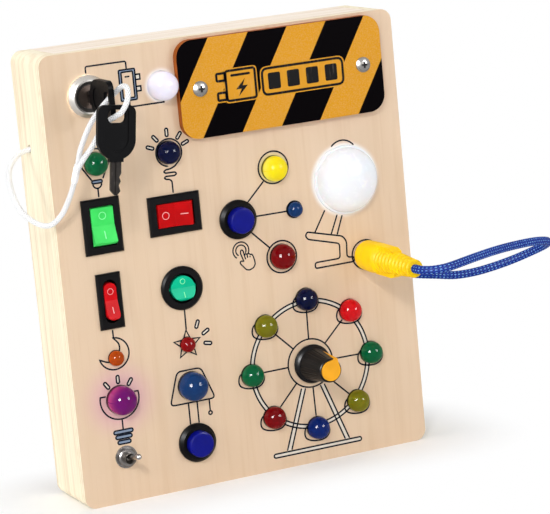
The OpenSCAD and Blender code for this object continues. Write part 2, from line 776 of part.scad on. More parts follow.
// A tapered, fluted knob on a round skirt, hollow over the nut, slotted for its pointer
module knob() color("#202022") on_front(wheel) rotate(-pointer_angle) difference() {
    rotate_extrude() polygon([[0, knob_foot], [skirt_r, knob_foot], [skirt_r, 1.8],
                              [skirt_r - 0.8, 2.8], [knob_neck_r, 3.6],
                              [knob_top_r, knob_h - 0.5], [knob_top_r - 0.5, knob_h], [0, knob_h]]);
    for (i = [0:flute_n - 1]) rotate((i + 0.5)*360/flute_n)
        translate([knob_neck_r + 0.55, 0, 5]) rotate([0, -knob_slope, 0])
            cylinder(h = knob_h - 8.5, r = 0.9, $fn = 16);
    translate([0, 0, -1]) cylinder(h = 6.8, r = 7);
    translate([0, 0, -1]) cylinder(h = 19.2, r = shaft_r + 0.03);
    translate([0, 0, knob_h - 0.9]) linear_extrude(2) teardrop(0.15);
    translate([0, knob_top_r + 0.6, knob_h/2 + 3]) cube([1.5, 4.2, knob_h - 6],
                                                        center = true);
}

// The pointer's face: a disc with a tangent point
module teardrop(grow) {
    r = 5.3 + grow;
    tip = 7.4 + grow;
    a = asin(r/tip);
    circle(r);
    polygon([[-r*cos(a), r*sin(a)], [0, tip], [r*cos(a), r*sin(a)], [0, 0]]);
}

module knob_pointer() color("Orange") on_front(wheel) rotate(-pointer_angle) {
    translate([0, 0, knob_h - 0.8]) linear_extrude(1.5) teardrop(0);
    across(1.2) polygon([[4.8, knob_h - 0.6], [7.4, knob_h - 0.2], [8.35, 6.4], [4.9, 6.4]]);
}

// ---------------------------------------------------------------- lamps

// A lens held from behind by its shoulder, with a barrel and a round crown in front
module lamp(r, barrel = 0.3) {
    rotate_extrude() polygon(concat(
        [[0, -panel_t - 1.6], [r + 1, -panel_t - 1.6], [r + 1, -panel_t], [r, -panel_t]],
        [for (a = [0:6:90]) [r*cos(a), r*(barrel + sin(a))]]
    ));
    for (s = [-1, 1]) translate([s*r*0.3, 0, -panel_t - 8]) cylinder(h = 7, r = 0.4);
}

dome_spigot_r = 9;

module dome_lamp() color("WhiteSmoke") on_front(dome) {
    rotate_extrude() polygon(concat(
        [[0, -panel_t - 1], [dome_spigot_r, -panel_t - 1], [dome_spigot_r, 0]],
        [[dome_r + dome_flange, 0], [dome_r + dome_flange, 1.8], [dome_r, 2.2]],
        [for (a = [6:6:90]) [dome_r*cos(a), 2.2 + (dome_h - 2.2)*sin(a)]]
    ));
    for (s = [-1, 1]) translate([s*3, 0, -panel_t - 7]) cylinder(h = 7, r = 0.4);
}

module power_lamp() color("White") on_front([col_b, row_lock]) lamp(lens_l, barrel_l);

module green_bulb_lamp() color("DarkGreen") on_front([col_a, row_bulb]) lamp(lens_m);

module navy_bulb_lamp() color("Navy") on_front([col_b, row_bulb]) lamp(lens_m);

module yellow_lamp() color("Yellow") on_front(lamp_y) lamp(lens_n);

module small_blue_lamp() color("MidnightBlue") on_front(lamp_b) lamp(lens_s);

module dark_red_lamp() color("DarkRed") on_front(lamp_r) lamp(lens_n);

module moon_lamp() color("OrangeRed") on_front([col_a, row_sky]) lamp(lens_s);

module star_lamp() color("FireBrick") on_front([col_b, row_sky]) lamp(lens_s);

module purple_lamp() color("Purple") on_front([col_a, row_table]) lamp(lens_l, barrel_l);

module table_lamp() color("DarkBlue") on_front([col_b, row_table]) lamp(lens_l, barrel_l);

module wheel_lamps(places) for (i = places) on_front(wheel_place(i)) lamp(lens_m);

module wheel_lamps_blue() color("Navy") wheel_lamps([0, 4]);

module wheel_lamps_red() color("Crimson") wheel_lamps([1, 5]);

module wheel_lamps_green() color("ForestGreen") wheel_lamps([2, 6]);

module wheel_lamps_olive() color("Olive") wheel_lamps([3, 7]);

// ---------------------------------------------------------------- jack, plug and nuts

jack_barrel_r = 5;
jack_flange_h = 1.2;
plug_pin_r = 1.75;
plug_pin_l = 14;
grip_start = jack_flange_h + 0.4;

module jack_socket() color("Silver") on_front(jack) difference() {
    union() {
        cylinder(h = jack_flange_h, r = 6.6);
        translate([0, 0, -panel_t - 12]) cylinder(h = panel_t + 12 + eps, r = jack_barrel_r);
        terminals(-panel_t - 12, 5, 2, 2, 5);
    }
    translate([0, 0, -plug_pin_l]) cylinder(h = 40, r = plug_pin_r + run_gap);
}

// Moulded grip: a round-shouldered barrel, two flat wings and a ribbed tail
module plug_grip() color("Gold") on_front(jack) translate([0, 0, grip_start]) {
    barrel = 0.38*grip_l;
    tail = grip_l - barrel;
    difference() {
        rotate_extrude() polygon(concat(
            [[0, 0], [grip_r - 1.6, 0], [grip_r - 0.5, 0.5], [grip_r, 1.8],
             [grip_r + 0.3, barrel*0.5], [grip_r - 0.2, barrel - 1.5], [grip_r - 1.2, barrel]],
            [for (i = [0:rib_n - 1]) each rib(i, barrel, tail)],
            [[4.8, grip_l - 3], [4.8, grip_l - 0.6], [4.3, grip_l], [0, grip_l]]
        ));
        translate([0, 0, grip_l - 5]) cylinder(h = 6, r = cord_d/2 + 0.02);
        translate([0, 0, -1]) cylinder(h = 5, r = plug_pin_r + 0.02);
    }
    intersection() {
        across(5.6) polygon([[-8.2, barrel - 6], [8.2, barrel - 6], [8.2, barrel + 10],
                             [6.4, barrel + 15], [-6.4, barrel + 15], [-8.2, barrel + 10]]);
        translate([0, 0, barrel - 6]) difference() {
            cylinder(h = 30, r = 8.3);
            translate([0, 0, -1]) cylinder(h = 40, r = 4);
        }
    }
}

// One rib of the tail and the groove after it, on the tail's taper
function rib(i, barrel, tail) =
    let (pitch = (tail - 4)/rib_n, z = barrel + i*pitch + 0.6, r = 6.8 - 2*i/rib_n)
    [[r - 0.6, z], [r, z + 0.2*pitch], [r, z + 0.6*pitch], [r - 0.6, z + 0.8*pitch]];

module plug_pin() color("Silver") on_front(jack) {
    translate([0, 0, -plug_pin_l + 1.5]) cylinder(h = plug_pin_l + grip_start + 2,
                                                  r = plug_pin_r);
    translate([0, 0, -plug_pin_l + 0.5]) cylinder(h = 1 + eps, r1 = 0.9, r2 = plug_pin_r);
}

// The nuts that hold the lock, the buttons, the selector and the jack
module panel_nuts() color("DarkGray") {
    on_front(lock_place) translate([0, 0, -panel_t - 2.5]) hex_nut(22, lock_barrel_r + 0.05, 2.5);
    for (place = [button_a, [col_b, row_foot]]) on_front(place)
        translate([0, 0, -panel_t - 3]) hex_nut(21, button_barrel_r + 0.05, 3);
    on_front(wheel) hex_nut(11, rotary_bush_r + 0.05, 2);
    on_front(jack) translate([0, 0, -panel_t - 2]) hex_nut(13, jack_barrel_r + 0.05, 2);
}

// ---------------------------------------------------------------- wiring

wire_r = 0.9;
bundle_r = 1.8;
bus_z = -33;                             // depth of the bundles behind the panel

// A run of straight wire through points, with round elbows
module wire(points, r) {
    for (i = [0:len(points) - 2]) {
        a = points[i];
        v = points[i + 1] - a;
        translate(a) rotate([0, acos(v[2]/norm(v)), atan2(v[1], v[0])])
            cylinder(h = norm(v), r = r, $fn = 16);
        if (i > 0) translate(a) sphere(r, $fn = 16);
    }
}

module wiring() color("Firebrick") on_front([0, 0]) {
    // one bundle up each column of devices, one across under the battery holder
    wire([[44, 30, bus_z], [44, 196, bus_z]], bundle_r);
    wire([[112, 24, bus_z], [112, 168, bus_z]], bundle_r);
    wire([[44, 168, bus_z], [130, 168, bus_z], [130, 206, bus_z], [130, 206, -17.2]], wire_r);
    // a branch to each device of the two columns
    for (z = [row_foot + 12, row_table, row_sky, row_small + 16, row_bulb])
        wire([[col_a + 4, z, bus_z], [col_b - 4, z, bus_z]], wire_r);
    // branches to the lamps of the ring and to the lamps above it
    for (z = [wheel[1] - 25, wheel[1] + 12, lamp_r[1], 140])
        wire([[112, z, bus_z], [150, z, bus_z]], wire_r);
}

// ---------------------------------------------------------------- all pieces

front_panel();
left_rail();
right_rail();
top_rail();
bottom_rail();
back_panel();
screws();
battery_holder();
battery_contacts();
batteries();
cover_plate();
panel_nuts();
lock_body();
lock_cylinder();
key_blade();
key_bow();
spare_key_blade();
spare_key_bow();
key_cord();
key_cord_knot();
green_rocker_housing();
green_rocker_paddle();
red_rocker_housing();
red_rocker_paddle();
narrow_rocker_housing();
narrow_rocker_paddle();
round_rocker_housing();
round_rocker_paddle();
upper_button_housing();
upper_button_cap();
lower_button_housing();
lower_button_cap();
toggle_body();
toggle_nut();
toggle_lever();
rotary_body();
rotary_shaft();
knob();
knob_pointer();
power_lamp();
green_bulb_lamp();
navy_bulb_lamp();
yellow_lamp();
small_blue_lamp();
dark_red_lamp();
moon_lamp();
star_lamp();
purple_lamp();
table_lamp();
dome_lamp();
wheel_lamps_blue();
wheel_lamps_red();
wheel_lamps_green();
wheel_lamps_olive();
jack_socket();
plug_grip();
plug_pin();
plug_cord();
wiring();
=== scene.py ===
"""Dresses a wooden busy board: cords, printed lines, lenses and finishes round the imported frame.

Shapes are surfaces worked out with numpy: a profile carried along a path, or a profile turned
about an axis. Inside the functions lengths are millimetres, either in a device's own axes (X to
the right, Y up the panel, Z out of it) or across and up the panel from its lower left corner.
"""

import functools
import math

import bmesh
import bpy
import numpy as np
from bpy.props import FloatProperty, FloatVectorProperty, PointerProperty
from bpy.types import Operator, Panel, PropertyGroup
from mathutils import Matrix, Vector


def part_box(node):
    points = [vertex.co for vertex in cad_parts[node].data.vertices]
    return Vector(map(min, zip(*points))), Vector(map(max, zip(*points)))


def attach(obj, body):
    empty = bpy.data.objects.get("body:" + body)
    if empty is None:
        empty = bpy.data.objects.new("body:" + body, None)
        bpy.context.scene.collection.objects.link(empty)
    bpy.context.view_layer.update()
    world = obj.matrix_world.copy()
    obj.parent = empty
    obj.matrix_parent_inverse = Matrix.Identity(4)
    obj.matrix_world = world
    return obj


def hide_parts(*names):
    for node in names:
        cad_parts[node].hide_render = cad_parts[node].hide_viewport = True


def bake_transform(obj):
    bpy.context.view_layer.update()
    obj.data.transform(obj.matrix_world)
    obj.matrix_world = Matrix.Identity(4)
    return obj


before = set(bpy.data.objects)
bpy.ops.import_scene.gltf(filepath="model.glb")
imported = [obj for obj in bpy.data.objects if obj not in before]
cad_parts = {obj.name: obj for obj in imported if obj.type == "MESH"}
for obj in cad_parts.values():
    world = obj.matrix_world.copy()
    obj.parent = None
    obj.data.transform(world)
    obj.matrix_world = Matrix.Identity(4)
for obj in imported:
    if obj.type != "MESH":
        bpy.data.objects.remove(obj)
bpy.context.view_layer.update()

bl_info = {
    "name": "Wooden Busy Board",
    "version": (1, 0, 0),
    "blender": (4, 5, 0),
    "location": "View3D > Sidebar > Busy Board",
    "description": "Finishes, lenses, printed lines and cords of a wooden busy board",
    "category": "Object",
}

MM = 0.001
PANEL_LOW, PANEL_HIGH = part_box("front_panel")
LEFT, FRONT = PANEL_LOW.x, PANEL_LOW.y
BOARD_HALF, DEPTH_HALF = PANEL_HIGH.x, -FRONT

# Places on the panel, in millimetres from its left edge and its foot
LOCK = (24.5, 212)
WHEEL = (134, 53.7)
DOME = (163, 148.5)
PLATE = (130.4, 208)
PURPLE_LAMP = (24.5, 54.5)
POWER_LAMP = (64.5, 212)
YELLOW_LAMP = (122.4, 160.5)
WHEEL_R = 35
WHEEL_TURN = np.radians(np.arange(8) * 45)
WHEEL_LAMPS = np.array(WHEEL) + WHEEL_R * np.stack([np.sin(WHEEL_TURN), np.cos(WHEEL_TURN)], -1)

# Other sizes of the solids, in millimetres
PANEL_T = 6
PLATE_FACE = 4.5
PLATE_SCREW = 46.65
# The reach and half width of the painted shade in the screws' cross recesses
CROSS_REACH, CROSS_HALF = 1.72, 0.55
# The lock's recess, painted dark as shade out to this radius
LOCK_RECESS_R = 7.9
STRIPE_FROM, STRIPE_LEAN = (61, 183), 0.592


# ---------------------------------------------------------------- colours and properties


def linear(rgb):
    """Screen colour, 0 to 255, as the linear values that shaders use."""
    c = np.array(rgb, float) / 255
    return tuple(np.where(c <= 0.04045, c / 12.92, ((c + 0.055) / 1.055) ** 2.4).tolist())


def tint(label, note, rgb):
    """A colour property, from a screen colour."""
    return FloatVectorProperty(
        name=label, description=f"Colour of {note}", subtype="COLOR", size=3, min=0, max=1,
        default=linear(rgb),
    )


def size(label, note, millimetres, low, high):
    """A length property, in metres from millimetres."""
    return FloatProperty(
        name=label, description=note, subtype="DISTANCE", unit="LENGTH",
        default=millimetres * MM, min=low * MM, max=high * MM,
    )


def share(label, note, value, high=1.0):
    """A property that is a share or a strength."""
    return FloatProperty(
        name=label, description=note, subtype="FACTOR", default=value, min=0, max=high
    )


def power(label, note, watts, high=200):
    """A lamp's power as a property."""
    return FloatProperty(
        name=label, description=f"Power of {note}", subtype="POWER", default=watts, min=0, max=high
    )


class BOARD_PG_wood(PropertyGroup):
    """Wood and printed lines"""

    face: tint("Face veneer", "the front panel's face", (229, 203, 175))
    edge: tint("Frame wood", "the rails and of the panel's edges", (253, 243, 214))
    top: tint("Top and bottom rails", "the rails that lie level", (255, 242, 227))
    grain: tint("Grain", "the darker grain lines", (206, 170, 128))
    back: tint("Back board", "the back panel", (214, 183, 143))
    ink: tint("Ink", "the printed lines", (14, 22, 36))
    ink_pale: tint("Pale ink", "the fill between double printed lines", (224, 216, 203))
    ink_mid: tint("Middle ink", "the blue-grey printed parts", (132, 149, 174))
    ink_width: size("Line width", "Width of a printed line", 0.85, 0.3, 1.2)


class BOARD_PG_plate(PropertyGroup):
    """Striped cover plate"""

    yellow: tint("Yellow", "the light stripes", (219, 153, 34))
    black: tint("Black", "the dark stripes", (4, 2, 4))
    edge: tint("Cut edge", "the plate's cut edge", (170, 92, 40))
    stripe: size("Stripe", "Width of a stripe along the plate", 22.3, 10, 40)


class BOARD_PG_switches(PropertyGroup):
    """Switches, buttons and selector"""

    bezel: tint("Bezel", "the housings", (10, 9, 11))
    green: tint("Green", "the large green rocker", (64, 214, 96))
    red: tint("Red", "the large red rocker", (180, 6, 10))
    crimson: tint("Crimson", "the narrow rocker", (200, 14, 22))
    emerald: tint("Emerald", "the round rocker", (8, 182, 138))
    blue: tint("Blue", "the button caps", (3, 10, 122))
    marks: tint("Marks", "the marks on the red rockers", (236, 176, 176))
    green_marks: tint("Green marks", "the marks on the green rockers", (150, 246, 176))
    pointer: tint("Pointer", "the selector's pointer", (234, 163, 34))
    glow: share("Rocker glow", "How much a lit rocker shines", 0.02)


class BOARD_PG_lamps(PropertyGroup):
    """Lenses"""

    white: tint("White", "the power lamp", (234, 230, 246))
    opal: tint("Opal", "the large dome", (238, 240, 246))
    yellow: tint("Yellow", "the yellow lens", (244, 222, 2))
    green: tint("Green", "the green lenses", (4, 112, 66))
    navy: tint("Navy", "the dark blue lenses", (3, 13, 60))
    royal: tint("Royal", "the brighter blue lenses", (12, 44, 128))
    red: tint("Red", "the dark red lenses", (140, 4, 12))
    table: tint("Table lamp blue", "the table lamp's lens", (24, 66, 126))
    star: tint("Star red", "the star's lens", (158, 8, 14))
    bright_red: tint("Bright red", "the lit red lens", (203, 5, 16))
    olive: tint("Olive", "the olive lenses", (138, 134, 22))
    orange: tint("Orange", "the moon lens", (204, 82, 8))
    purple: tint("Purple", "the purple lens", (104, 4, 100))
    lit: share("Lit", "How much a lit lens shines", 1.0, 8.0)


class BOARD_PG_cords(PropertyGroup):
    """Cords, plug, keys and metal"""

    white: tint("White cord", "the key cord", (246, 246, 247))
    blue: tint("Blue cord", "the plug cord", (4, 46, 150))
    # The light flecks of the plug cord are painted sheen on its strands' crests
    fleck: tint("Blue cord fleck", "the light strands of the plug cord", (120, 176, 240))
    grip: tint("Plug", "the plug's moulded grip", (250, 204, 4))
    key: tint("Key bow", "the key bows", (5, 5, 7))
    nickel: tint("Nickel", "plated metal", (190, 186, 180))
    white_d: size("White cord diameter", "Diameter of the key cord", 2.8, 2, 4)
    blue_d: size("Blue cord diameter", "Diameter of the plug cord", 4.6, 3, 6)


class BOARD_PG_stage(PropertyGroup):
    """Floor and lights"""

    floor: tint("Floor", "the floor and backdrop", (250, 250, 250))
    key_power: power("Key light", "the light in front", 10.4)
    side_power: power("Side light", "the light at the left", 11)
    fill_power: power("Fill light", "the light at the right", 3)
    top_power: power("Top light", "the light above", 5)
    glint_power: power("Softboxes", "the reflected softboxes", 170, 400)
    sky: share("Sky", "Strength of the light from all round", 0.5, 2.0)


# ---------------------------------------------------------------- meshes


def put_right(mesh, weld=False):
    """Turns a mesh's faces outwards, after joining its doubled points if asked to."""
    b = bmesh.new()
    b.from_mesh(mesh)
    if weld:
        bmesh.ops.remove_doubles(b, verts=b.verts, dist=2e-6)
        bmesh.ops.dissolve_degenerate(b, dist=1e-7, edges=b.edges)
    bmesh.ops.recalc_face_normals(b, faces=b.faces)
    b.to_mesh(mesh)
    b.free()


def mesh_object(name, points, faces, smooth_angle=40, mend=True):
    """A mesh object from points in metres in the row frame and rows of corner numbers."""
    mesh = bpy.data.meshes.new(name)
    mesh.from_pydata(np.asarray(points, float), [], [list(f) for f in faces])
    if mend:
        put_right(mesh, weld=True)
    mesh.shade_smooth()
    if smooth_angle < 180:
        mesh.set_sharp_from_angle(angle=math.radians(smooth_angle))
    obj = bpy.data.objects.new(name, mesh)
    bpy.context.scene.collection.objects.link(obj)
    return obj


def unit(vectors):
    """Vectors divided by their lengths."""
    return vectors / np.maximum(np.linalg.norm(vectors, axis=-1, keepdims=True), 1e-9)


def grid_faces(rows, columns, wrap_rows=False, wrap_columns=False):
    """Corner numbers of the quads of a grid that is stored row by row."""
    i = np.arange(rows if wrap_rows else rows - 1)
    j = np.arange(columns if wrap_columns else columns - 1)
    a, b = np.meshgrid(i, j, indexing="ij")
    a2, b2 = (a + 1) % rows, (b + 1) % columns
    return np.stack(
        [a * columns + b, a * columns + b2, a2 * columns + b2, a2 * columns + b], -1
    ).reshape(-1, 4)


def tube_faces(rings, sides):
    """The quads of a tube that is stored ring by ring, and its two ends."""
    ends = [list(range(sides))[::-1], [(rings - 1) * sides + k for k in range(sides)]]
    return grid_faces(rings, sides, False, True).tolist() + ends


def at(*numbers):
    """Points across and up the panel, from their X and Y in turn."""
    return np.reshape(numbers, (-1, 2)).astype(float)


def device(place, points):
    """Points in a device's own axes, moved onto the panel: its Y goes up and its Z out, so the
    new X, Y and Z are left + x, front - z and y."""
    p = np.asarray(points, float)
    x, y, z = place[0] + p[..., 0], p[..., 2], place[1] + p[..., 1]
    return np.stack([LEFT + x * MM, FRONT - y * MM, z * MM], -1)


def joined(parts):
    """Several (points, faces) as one."""
    points, faces, start = [], [], 0
    for p, f in parts:
        points.append(np.asarray(p, float).reshape(-1, 3))
        faces.extend([[int(c) + start for c in face] for face in f])
        start += len(points[-1])
    return np.concatenate(points), faces


def turned(profile, sides):
    """A profile of (radius, height) turned about Z: x = r cos t, y = r sin t, z = height."""
    r, z = np.asarray(profile, float).T
    t = np.arange(sides) * 2 * np.pi / sides
    grid = np.stack(
        [r[:, None] * np.cos(t), r[:, None] * np.sin(t), np.repeat(z[:, None], sides, 1)], -1
    )
    return grid.reshape(-1, 3), grid_faces(len(r), sides, False, True)


def eased(points, radius):
    """A polyline with its inner corners rounded: each becomes a curve between two points that
    lie a radius before and after it, weighted (1-t)^2, 2t(1-t) and t^2."""
    p = np.asarray(points, float)
    out = [p[:1]]
    t = np.linspace(0, 1, 5)[:, None]
    for a, b, c in zip(p[:-2], p[1:-1], p[2:]):
        back, ahead = a - b, c - b
        la, lc = np.linalg.norm(back), np.linalg.norm(ahead)
        k = min(radius, 0.45 * la, 0.45 * lc)
        start, end = b + back / la * k, b + ahead / lc * k
        out.append((1 - t) ** 2 * start + 2 * t * (1 - t) * b + t**2 * end)
    out.append(p[-1:])
    return np.concatenate(out)


def eased_ring(points, radius):
    """The same for a closed polyline."""
    p = np.asarray(points, float)
    return eased(np.concatenate([p[-1:], p, p[:1]]), radius)[1:-1]


def flowing(points, steps=8):
    """The smooth curve through points: on each stretch half of
    2b + (c-a)t + (2a-5b+4c-d)t^2 + (3b-a-3c+d)t^3, with a and d the points either side."""
    p = np.asarray(points, float)
    n = len(p)
    i = np.arange(n - 1)[:, None]
    t = (np.arange(steps) / steps)[None, :, None]
    a, b, c, d = p[np.maximum(i - 1, 0)], p[i], p[i + 1], p[np.minimum(i + 2, n - 1)]
    curve = 0.5 * (
        2 * b + (c - a) * t + (2 * a - 5 * b + 4 * c - d) * t**2 + (3 * b - a - 3 * c + d) * t**3
    )
    return np.concatenate([curve.reshape(-1, p.shape[1]), p[-1:]])


def evenly(path, step):
    """A path cut into equal stretches of about the given length."""
    s = np.r_[0, np.cumsum(np.linalg.norm(np.diff(path, axis=0), axis=1))]
    count = max(int(s[-1] / step), 2)
    cuts = np.linspace(0, s[-1], count + 1)
    return np.stack([np.interp(cuts, s, path[:, k]) for k in range(path.shape[1])], -1)


def carried(path, radius_at, sides):
    """A round profile carried along a path in space: path + r (cos t n + sin t m), where n and m
    stand square to the path. radius_at(around, along) gives r from the turn t in radians and
    the distance along. The direction n is passed from ring to ring, turned as little as the
    curve asks. Returns points, faces and distances."""
    tangent = unit(np.gradient(path, axis=0))
    normal = [unit(np.cross(tangent[0], (0.31, 0.52, 0.79)))]
    for t in tangent[1:]:
        normal.append(unit(normal[-1] - (normal[-1] @ t) * t))
    normal = np.array(normal)
    other = np.cross(tangent, normal)
    along = np.r_[0, np.cumsum(np.linalg.norm(np.diff(path, axis=0), axis=1))]
    turn = np.arange(sides) * 2 * np.pi / sides
    r = radius_at(turn[None, :], along[:, None]) * np.ones((len(path), sides))
    rings = path[:, None] + r[..., None] * (
        np.cos(turn)[None, :, None] * normal[:, None] + np.sin(turn)[None, :, None] * other[:, None]
    )
    return rings.reshape(-1, 3), tube_faces(len(path), sides), along


def column(items, name, kind=float, width=1):
    """One property of all the points, corners or faces of a mesh."""
    values = np.zeros(len(items) * width, kind)
    items.foreach_get(name, values)
    return values


def set_uv(mesh, u, v):
    """A UV map from u and v of every face corner."""
    layer = mesh.uv_layers.new(name="UVMap")
    layer.data.foreach_set("uv", np.stack([u, v], -1).astype(np.float32).ravel())


def tube_uv(mesh, sides, rings, length):
    """UV for a tube made by carried: u once round, v the distance along in metres. In a quad
    that crosses the seam, the corners at 0 become 1."""
    corner = column(mesh.loops, "vertex_index", np.int32)
    u, v = (corner % sides) / sides, (corner // sides) / (rings - 1) * length
    start, total = (column(mesh.polygons, "loop_" + k, np.int32) for k in ("start", "total"))
    corners = start[total == 4][:, None] + np.arange(4)
    across = u[corners]
    seam = np.ptp(across, axis=1) > 0.5
    across[seam] = np.where(across[seam] < 0.5, across[seam] + 1, across[seam])
    u[corners] = across
    set_uv(mesh, u, v)


def flat_band(path, width, low, high, closed=False):
    """A flat band carried along a path across the panel: a four-cornered profile, as wide as
    width and from low to high above the panel, mitred at the corners. Open ends are rounded:
    the width follows the cosine and the end's distance the sine of four angles."""
    p = np.asarray(path, float)
    w = np.full(len(p), float(width))
    if closed:
        before, after = np.roll(p, 1, 0), np.roll(p, -1, 0)
    else:
        a = np.radians([78, 52, 26, 0])

        def tip(end, toward):
            return end - unit(end - toward) * width / 2 * (1 - np.sin(a))[:, None]

        w = np.r_[width * np.cos(a), w[1:-1], (width * np.cos(a))[::-1]]
        p = np.concatenate([tip(p[0], p[1]), p[1:-1], tip(p[-1], p[-2])[::-1]])
        before, after = np.r_[p[:1], p[:-1]], np.r_[p[1:], p[-1:]]
    d1, d2 = p - before, after - p
    still = [np.linalg.norm(d, axis=1)[:, None] < 1e-9 for d in (d1, d2)]
    d1, d2 = unit(np.where(still[0], d2, d1)), unit(np.where(still[1], d1, d2))
    middle = unit(d1 + d2)
    side = np.stack([-middle[:, 1], middle[:, 0]], -1)
    half = side * (w / 2 / np.maximum((middle * d1).sum(1), 0.55))[:, None]
    corners = (p - half, low), (p - half, high), (p + half, high), (p + half, low)
    grid = np.stack([np.c_[q, np.full(len(p), z)] for q, z in corners], 1)
    faces = grid_faces(len(p), 4, True, True) if closed else tube_faces(len(p), 4)
    return grid.reshape(-1, 3), faces


def flat_patch(outline, low, high):
    """A flat patch: the outline at two heights, with a wall between them."""
    p, z = np.asarray(outline, float), np.ones(len(outline))
    return np.concatenate([np.c_[p, z * low], np.c_[p, z * high]]), tube_faces(2, len(p))


def arc(centre, radius, start, end, steps=24):
    """Points on a circle from one angle in degrees to another: centre + r (cos a, sin a)."""
    a = np.radians(np.linspace(start, end, steps))
    return np.stack([centre[0] + radius * np.cos(a), centre[1] + radius * np.sin(a)], -1)


def circle(centre, radius, steps=64):
    """The same all the way round, as a closed outline."""
    return arc(centre, radius, 0, 360, steps + 1)[:-1]


def pill(centre, length, width, angle=0):
    """A closed outline of two half circles joined by straight sides."""
    h, r, a = (length - width) / 2, width / 2, math.radians(angle)
    ends = np.concatenate([arc((h, 0), r, -90, 90, 10), arc((-h, 0), r, 90, 270, 10)])
    turn = np.array([[math.cos(a), math.sin(a)], [-math.sin(a), math.cos(a)]])
    return ends @ turn + np.array(centre)


def ray(p, q, start, length):
    """A straight line from p towards q, as two points."""
    p = np.array(p, float)
    d = unit(np.array(q, float) - p)
    return np.array([p + d * start, p + d * (start + length)])


# ---------------------------------------------------------------- shader nodes

WHITE, BLACK, ORIGIN = (1, 1, 1, 1), (0, 0, 0, 1), (0, 0, 0)
UPRIGHT = (0, math.pi / 2, 0)
OUTWARD = (math.pi / 2, 0, 0)


def surface(colour, rough, height, **more):
    """What a material needs to know of its surface."""
    return {"colour": colour, "rough": rough, "height": height, **more}


class Wire:
    """A node's output that can be reckoned with: each sign adds a Math node."""

    def __init__(self, graph, socket):
        self.graph, self.socket = graph, socket

    def __abs__(self):
        return self.graph.math("ABSOLUTE", self)


for sign, operation in (
    ("add", "ADD"), ("sub", "SUBTRACT"), ("mul", "MULTIPLY"), ("truediv", "DIVIDE")
):
    setattr(Wire, f"__{sign}__", lambda a, b, how=operation: a.graph.math(how, a, b))
    setattr(Wire, f"__r{sign}__", lambda a, b, how=operation: a.graph.math(how, b, a))


class Graph:
    """Adds shader nodes to one tree."""

    def __init__(self, tree):
        self.tree = tree

    def feed(self, node, key, value):
        """Links an input to an output, or sets its value; a colour needs no alpha."""
        socket, value = node.inputs[key], getattr(value, "socket", value)
        if isinstance(value, bpy.types.NodeSocket):
            self.tree.links.new(value, socket)
        else:
            colour = socket.type == "RGBA"
            socket.default_value = (*tuple(value)[:3], 1.0) if colour else value

    def put(self, kind, inputs=(), **settings):
        node = self.tree.nodes.new("ShaderNode" + kind)
        for key, value in settings.items():
            setattr(node, key, value)
        for key, value in dict(inputs).items():
            self.feed(node, key, value)
        return node

    def take(self, kind, inputs, output=0, **settings):
        return Wire(self, self.put(kind, inputs, **settings).outputs[output])

    def math(self, operation, *values):
        return self.take("Math", dict(enumerate(values)), operation=operation)

    def mix(self, factor, a, b, how="MIX"):
        inputs = {0: factor, 6: a, 7: b}
        return self.take("Mix", inputs, 2, data_type="RGBA", blend_type=how)

    def between(self, value, low, high, out_low=0.0, out_high=1.0):
        """A value's place between two limits, eased at both ends."""
        inputs = {"Value": value, "From Min": low, "From Max": high}
        inputs.update({"To Min": out_low, "To Max": out_high})
        return self.take("MapRange", inputs, "Result", interpolation_type="SMOOTHSTEP")

    def noise(self, vector, scale, detail=3.0, distortion=0.0):
        inputs = {"Vector": vector, "Scale": scale, "Detail": detail, "Distortion": distortion}
        return self.take("TexNoise", inputs, "Fac")

    def placed(self, vector, scale=(1, 1, 1), turn=(0, 0, 0)):
        return self.take("Mapping", {"Vector": vector, "Scale": scale, "Rotation": turn})

    def axes(self, vector):
        return [Wire(self, s) for s in self.put("SeparateXYZ", {0: vector}).outputs]


def shared(build):
    """Turns a function into a node group, built when a material first asks for it. Its keyword
    arguments are the group's inputs, and their defaults tell numbers, vectors and colours."""
    defaults = build.__kwdefaults__

    def new_group():
        tree = bpy.data.node_groups.new(build.__name__, "ShaderNodeTree")

        def socket(way, label, value):
            kind = {3: "Vector", 4: "Color"}[len(value)] if isinstance(value, tuple) else "Float"
            kind = "NodeSocket" + kind
            return tree.interface.new_socket(label, in_out=way, socket_type=kind)

        for key, value in defaults.items():
            socket("INPUT", key, value).default_value = value
        graph, enter = Graph(tree), tree.nodes.new("NodeGroupInput")
        made = build(graph, **{key: Wire(graph, enter.outputs[key]) for key in defaults})
        for key in made:
            socket("OUTPUT", key, WHITE if key == "colour" else 0.0)
        leave = tree.nodes.new("NodeGroupOutput")
        for key, wire in made.items():
            graph.feed(leave, key, wire)
        return tree

    @functools.wraps(build)
    def use(graph, *values):
        node = graph.tree.nodes.new("ShaderNodeGroup")
        node.node_tree = bpy.data.node_groups.get(build.__name__) or new_group()
        for key, value in zip(defaults, values):
            graph.feed(node, key, value)
        return {output.name: Wire(graph, output) for output in node.outputs}

    return use


@shared
def wood(g, *, vector=ORIGIN, light=WHITE, dark=WHITE, streaks=0.3, pores=0.2, mottle=0.2):
    """Wood whose grain runs along the vector's X: broad streaks, fine dark pores and a mottle,
    each a noise stretched along the grain."""
    streak = g.noise(g.placed(vector, (9, 210, 210)), 1, 4, 0.5)
    pore = g.between(g.noise(g.placed(vector, (26, 1500, 1500)), 1, 2), 0.58, 0.74)
    tone = g.between(streak, 0.42, 0.72) * streaks + pore * pores
    tone = tone + g.noise(g.placed(vector, (20, 60, 60)), 1, 2) * mottle
    rough = g.between(streak, 0.2, 0.8, 0.46, 0.62)
    return surface(g.mix(tone, light, dark), rough, streak - pore * 0.6)


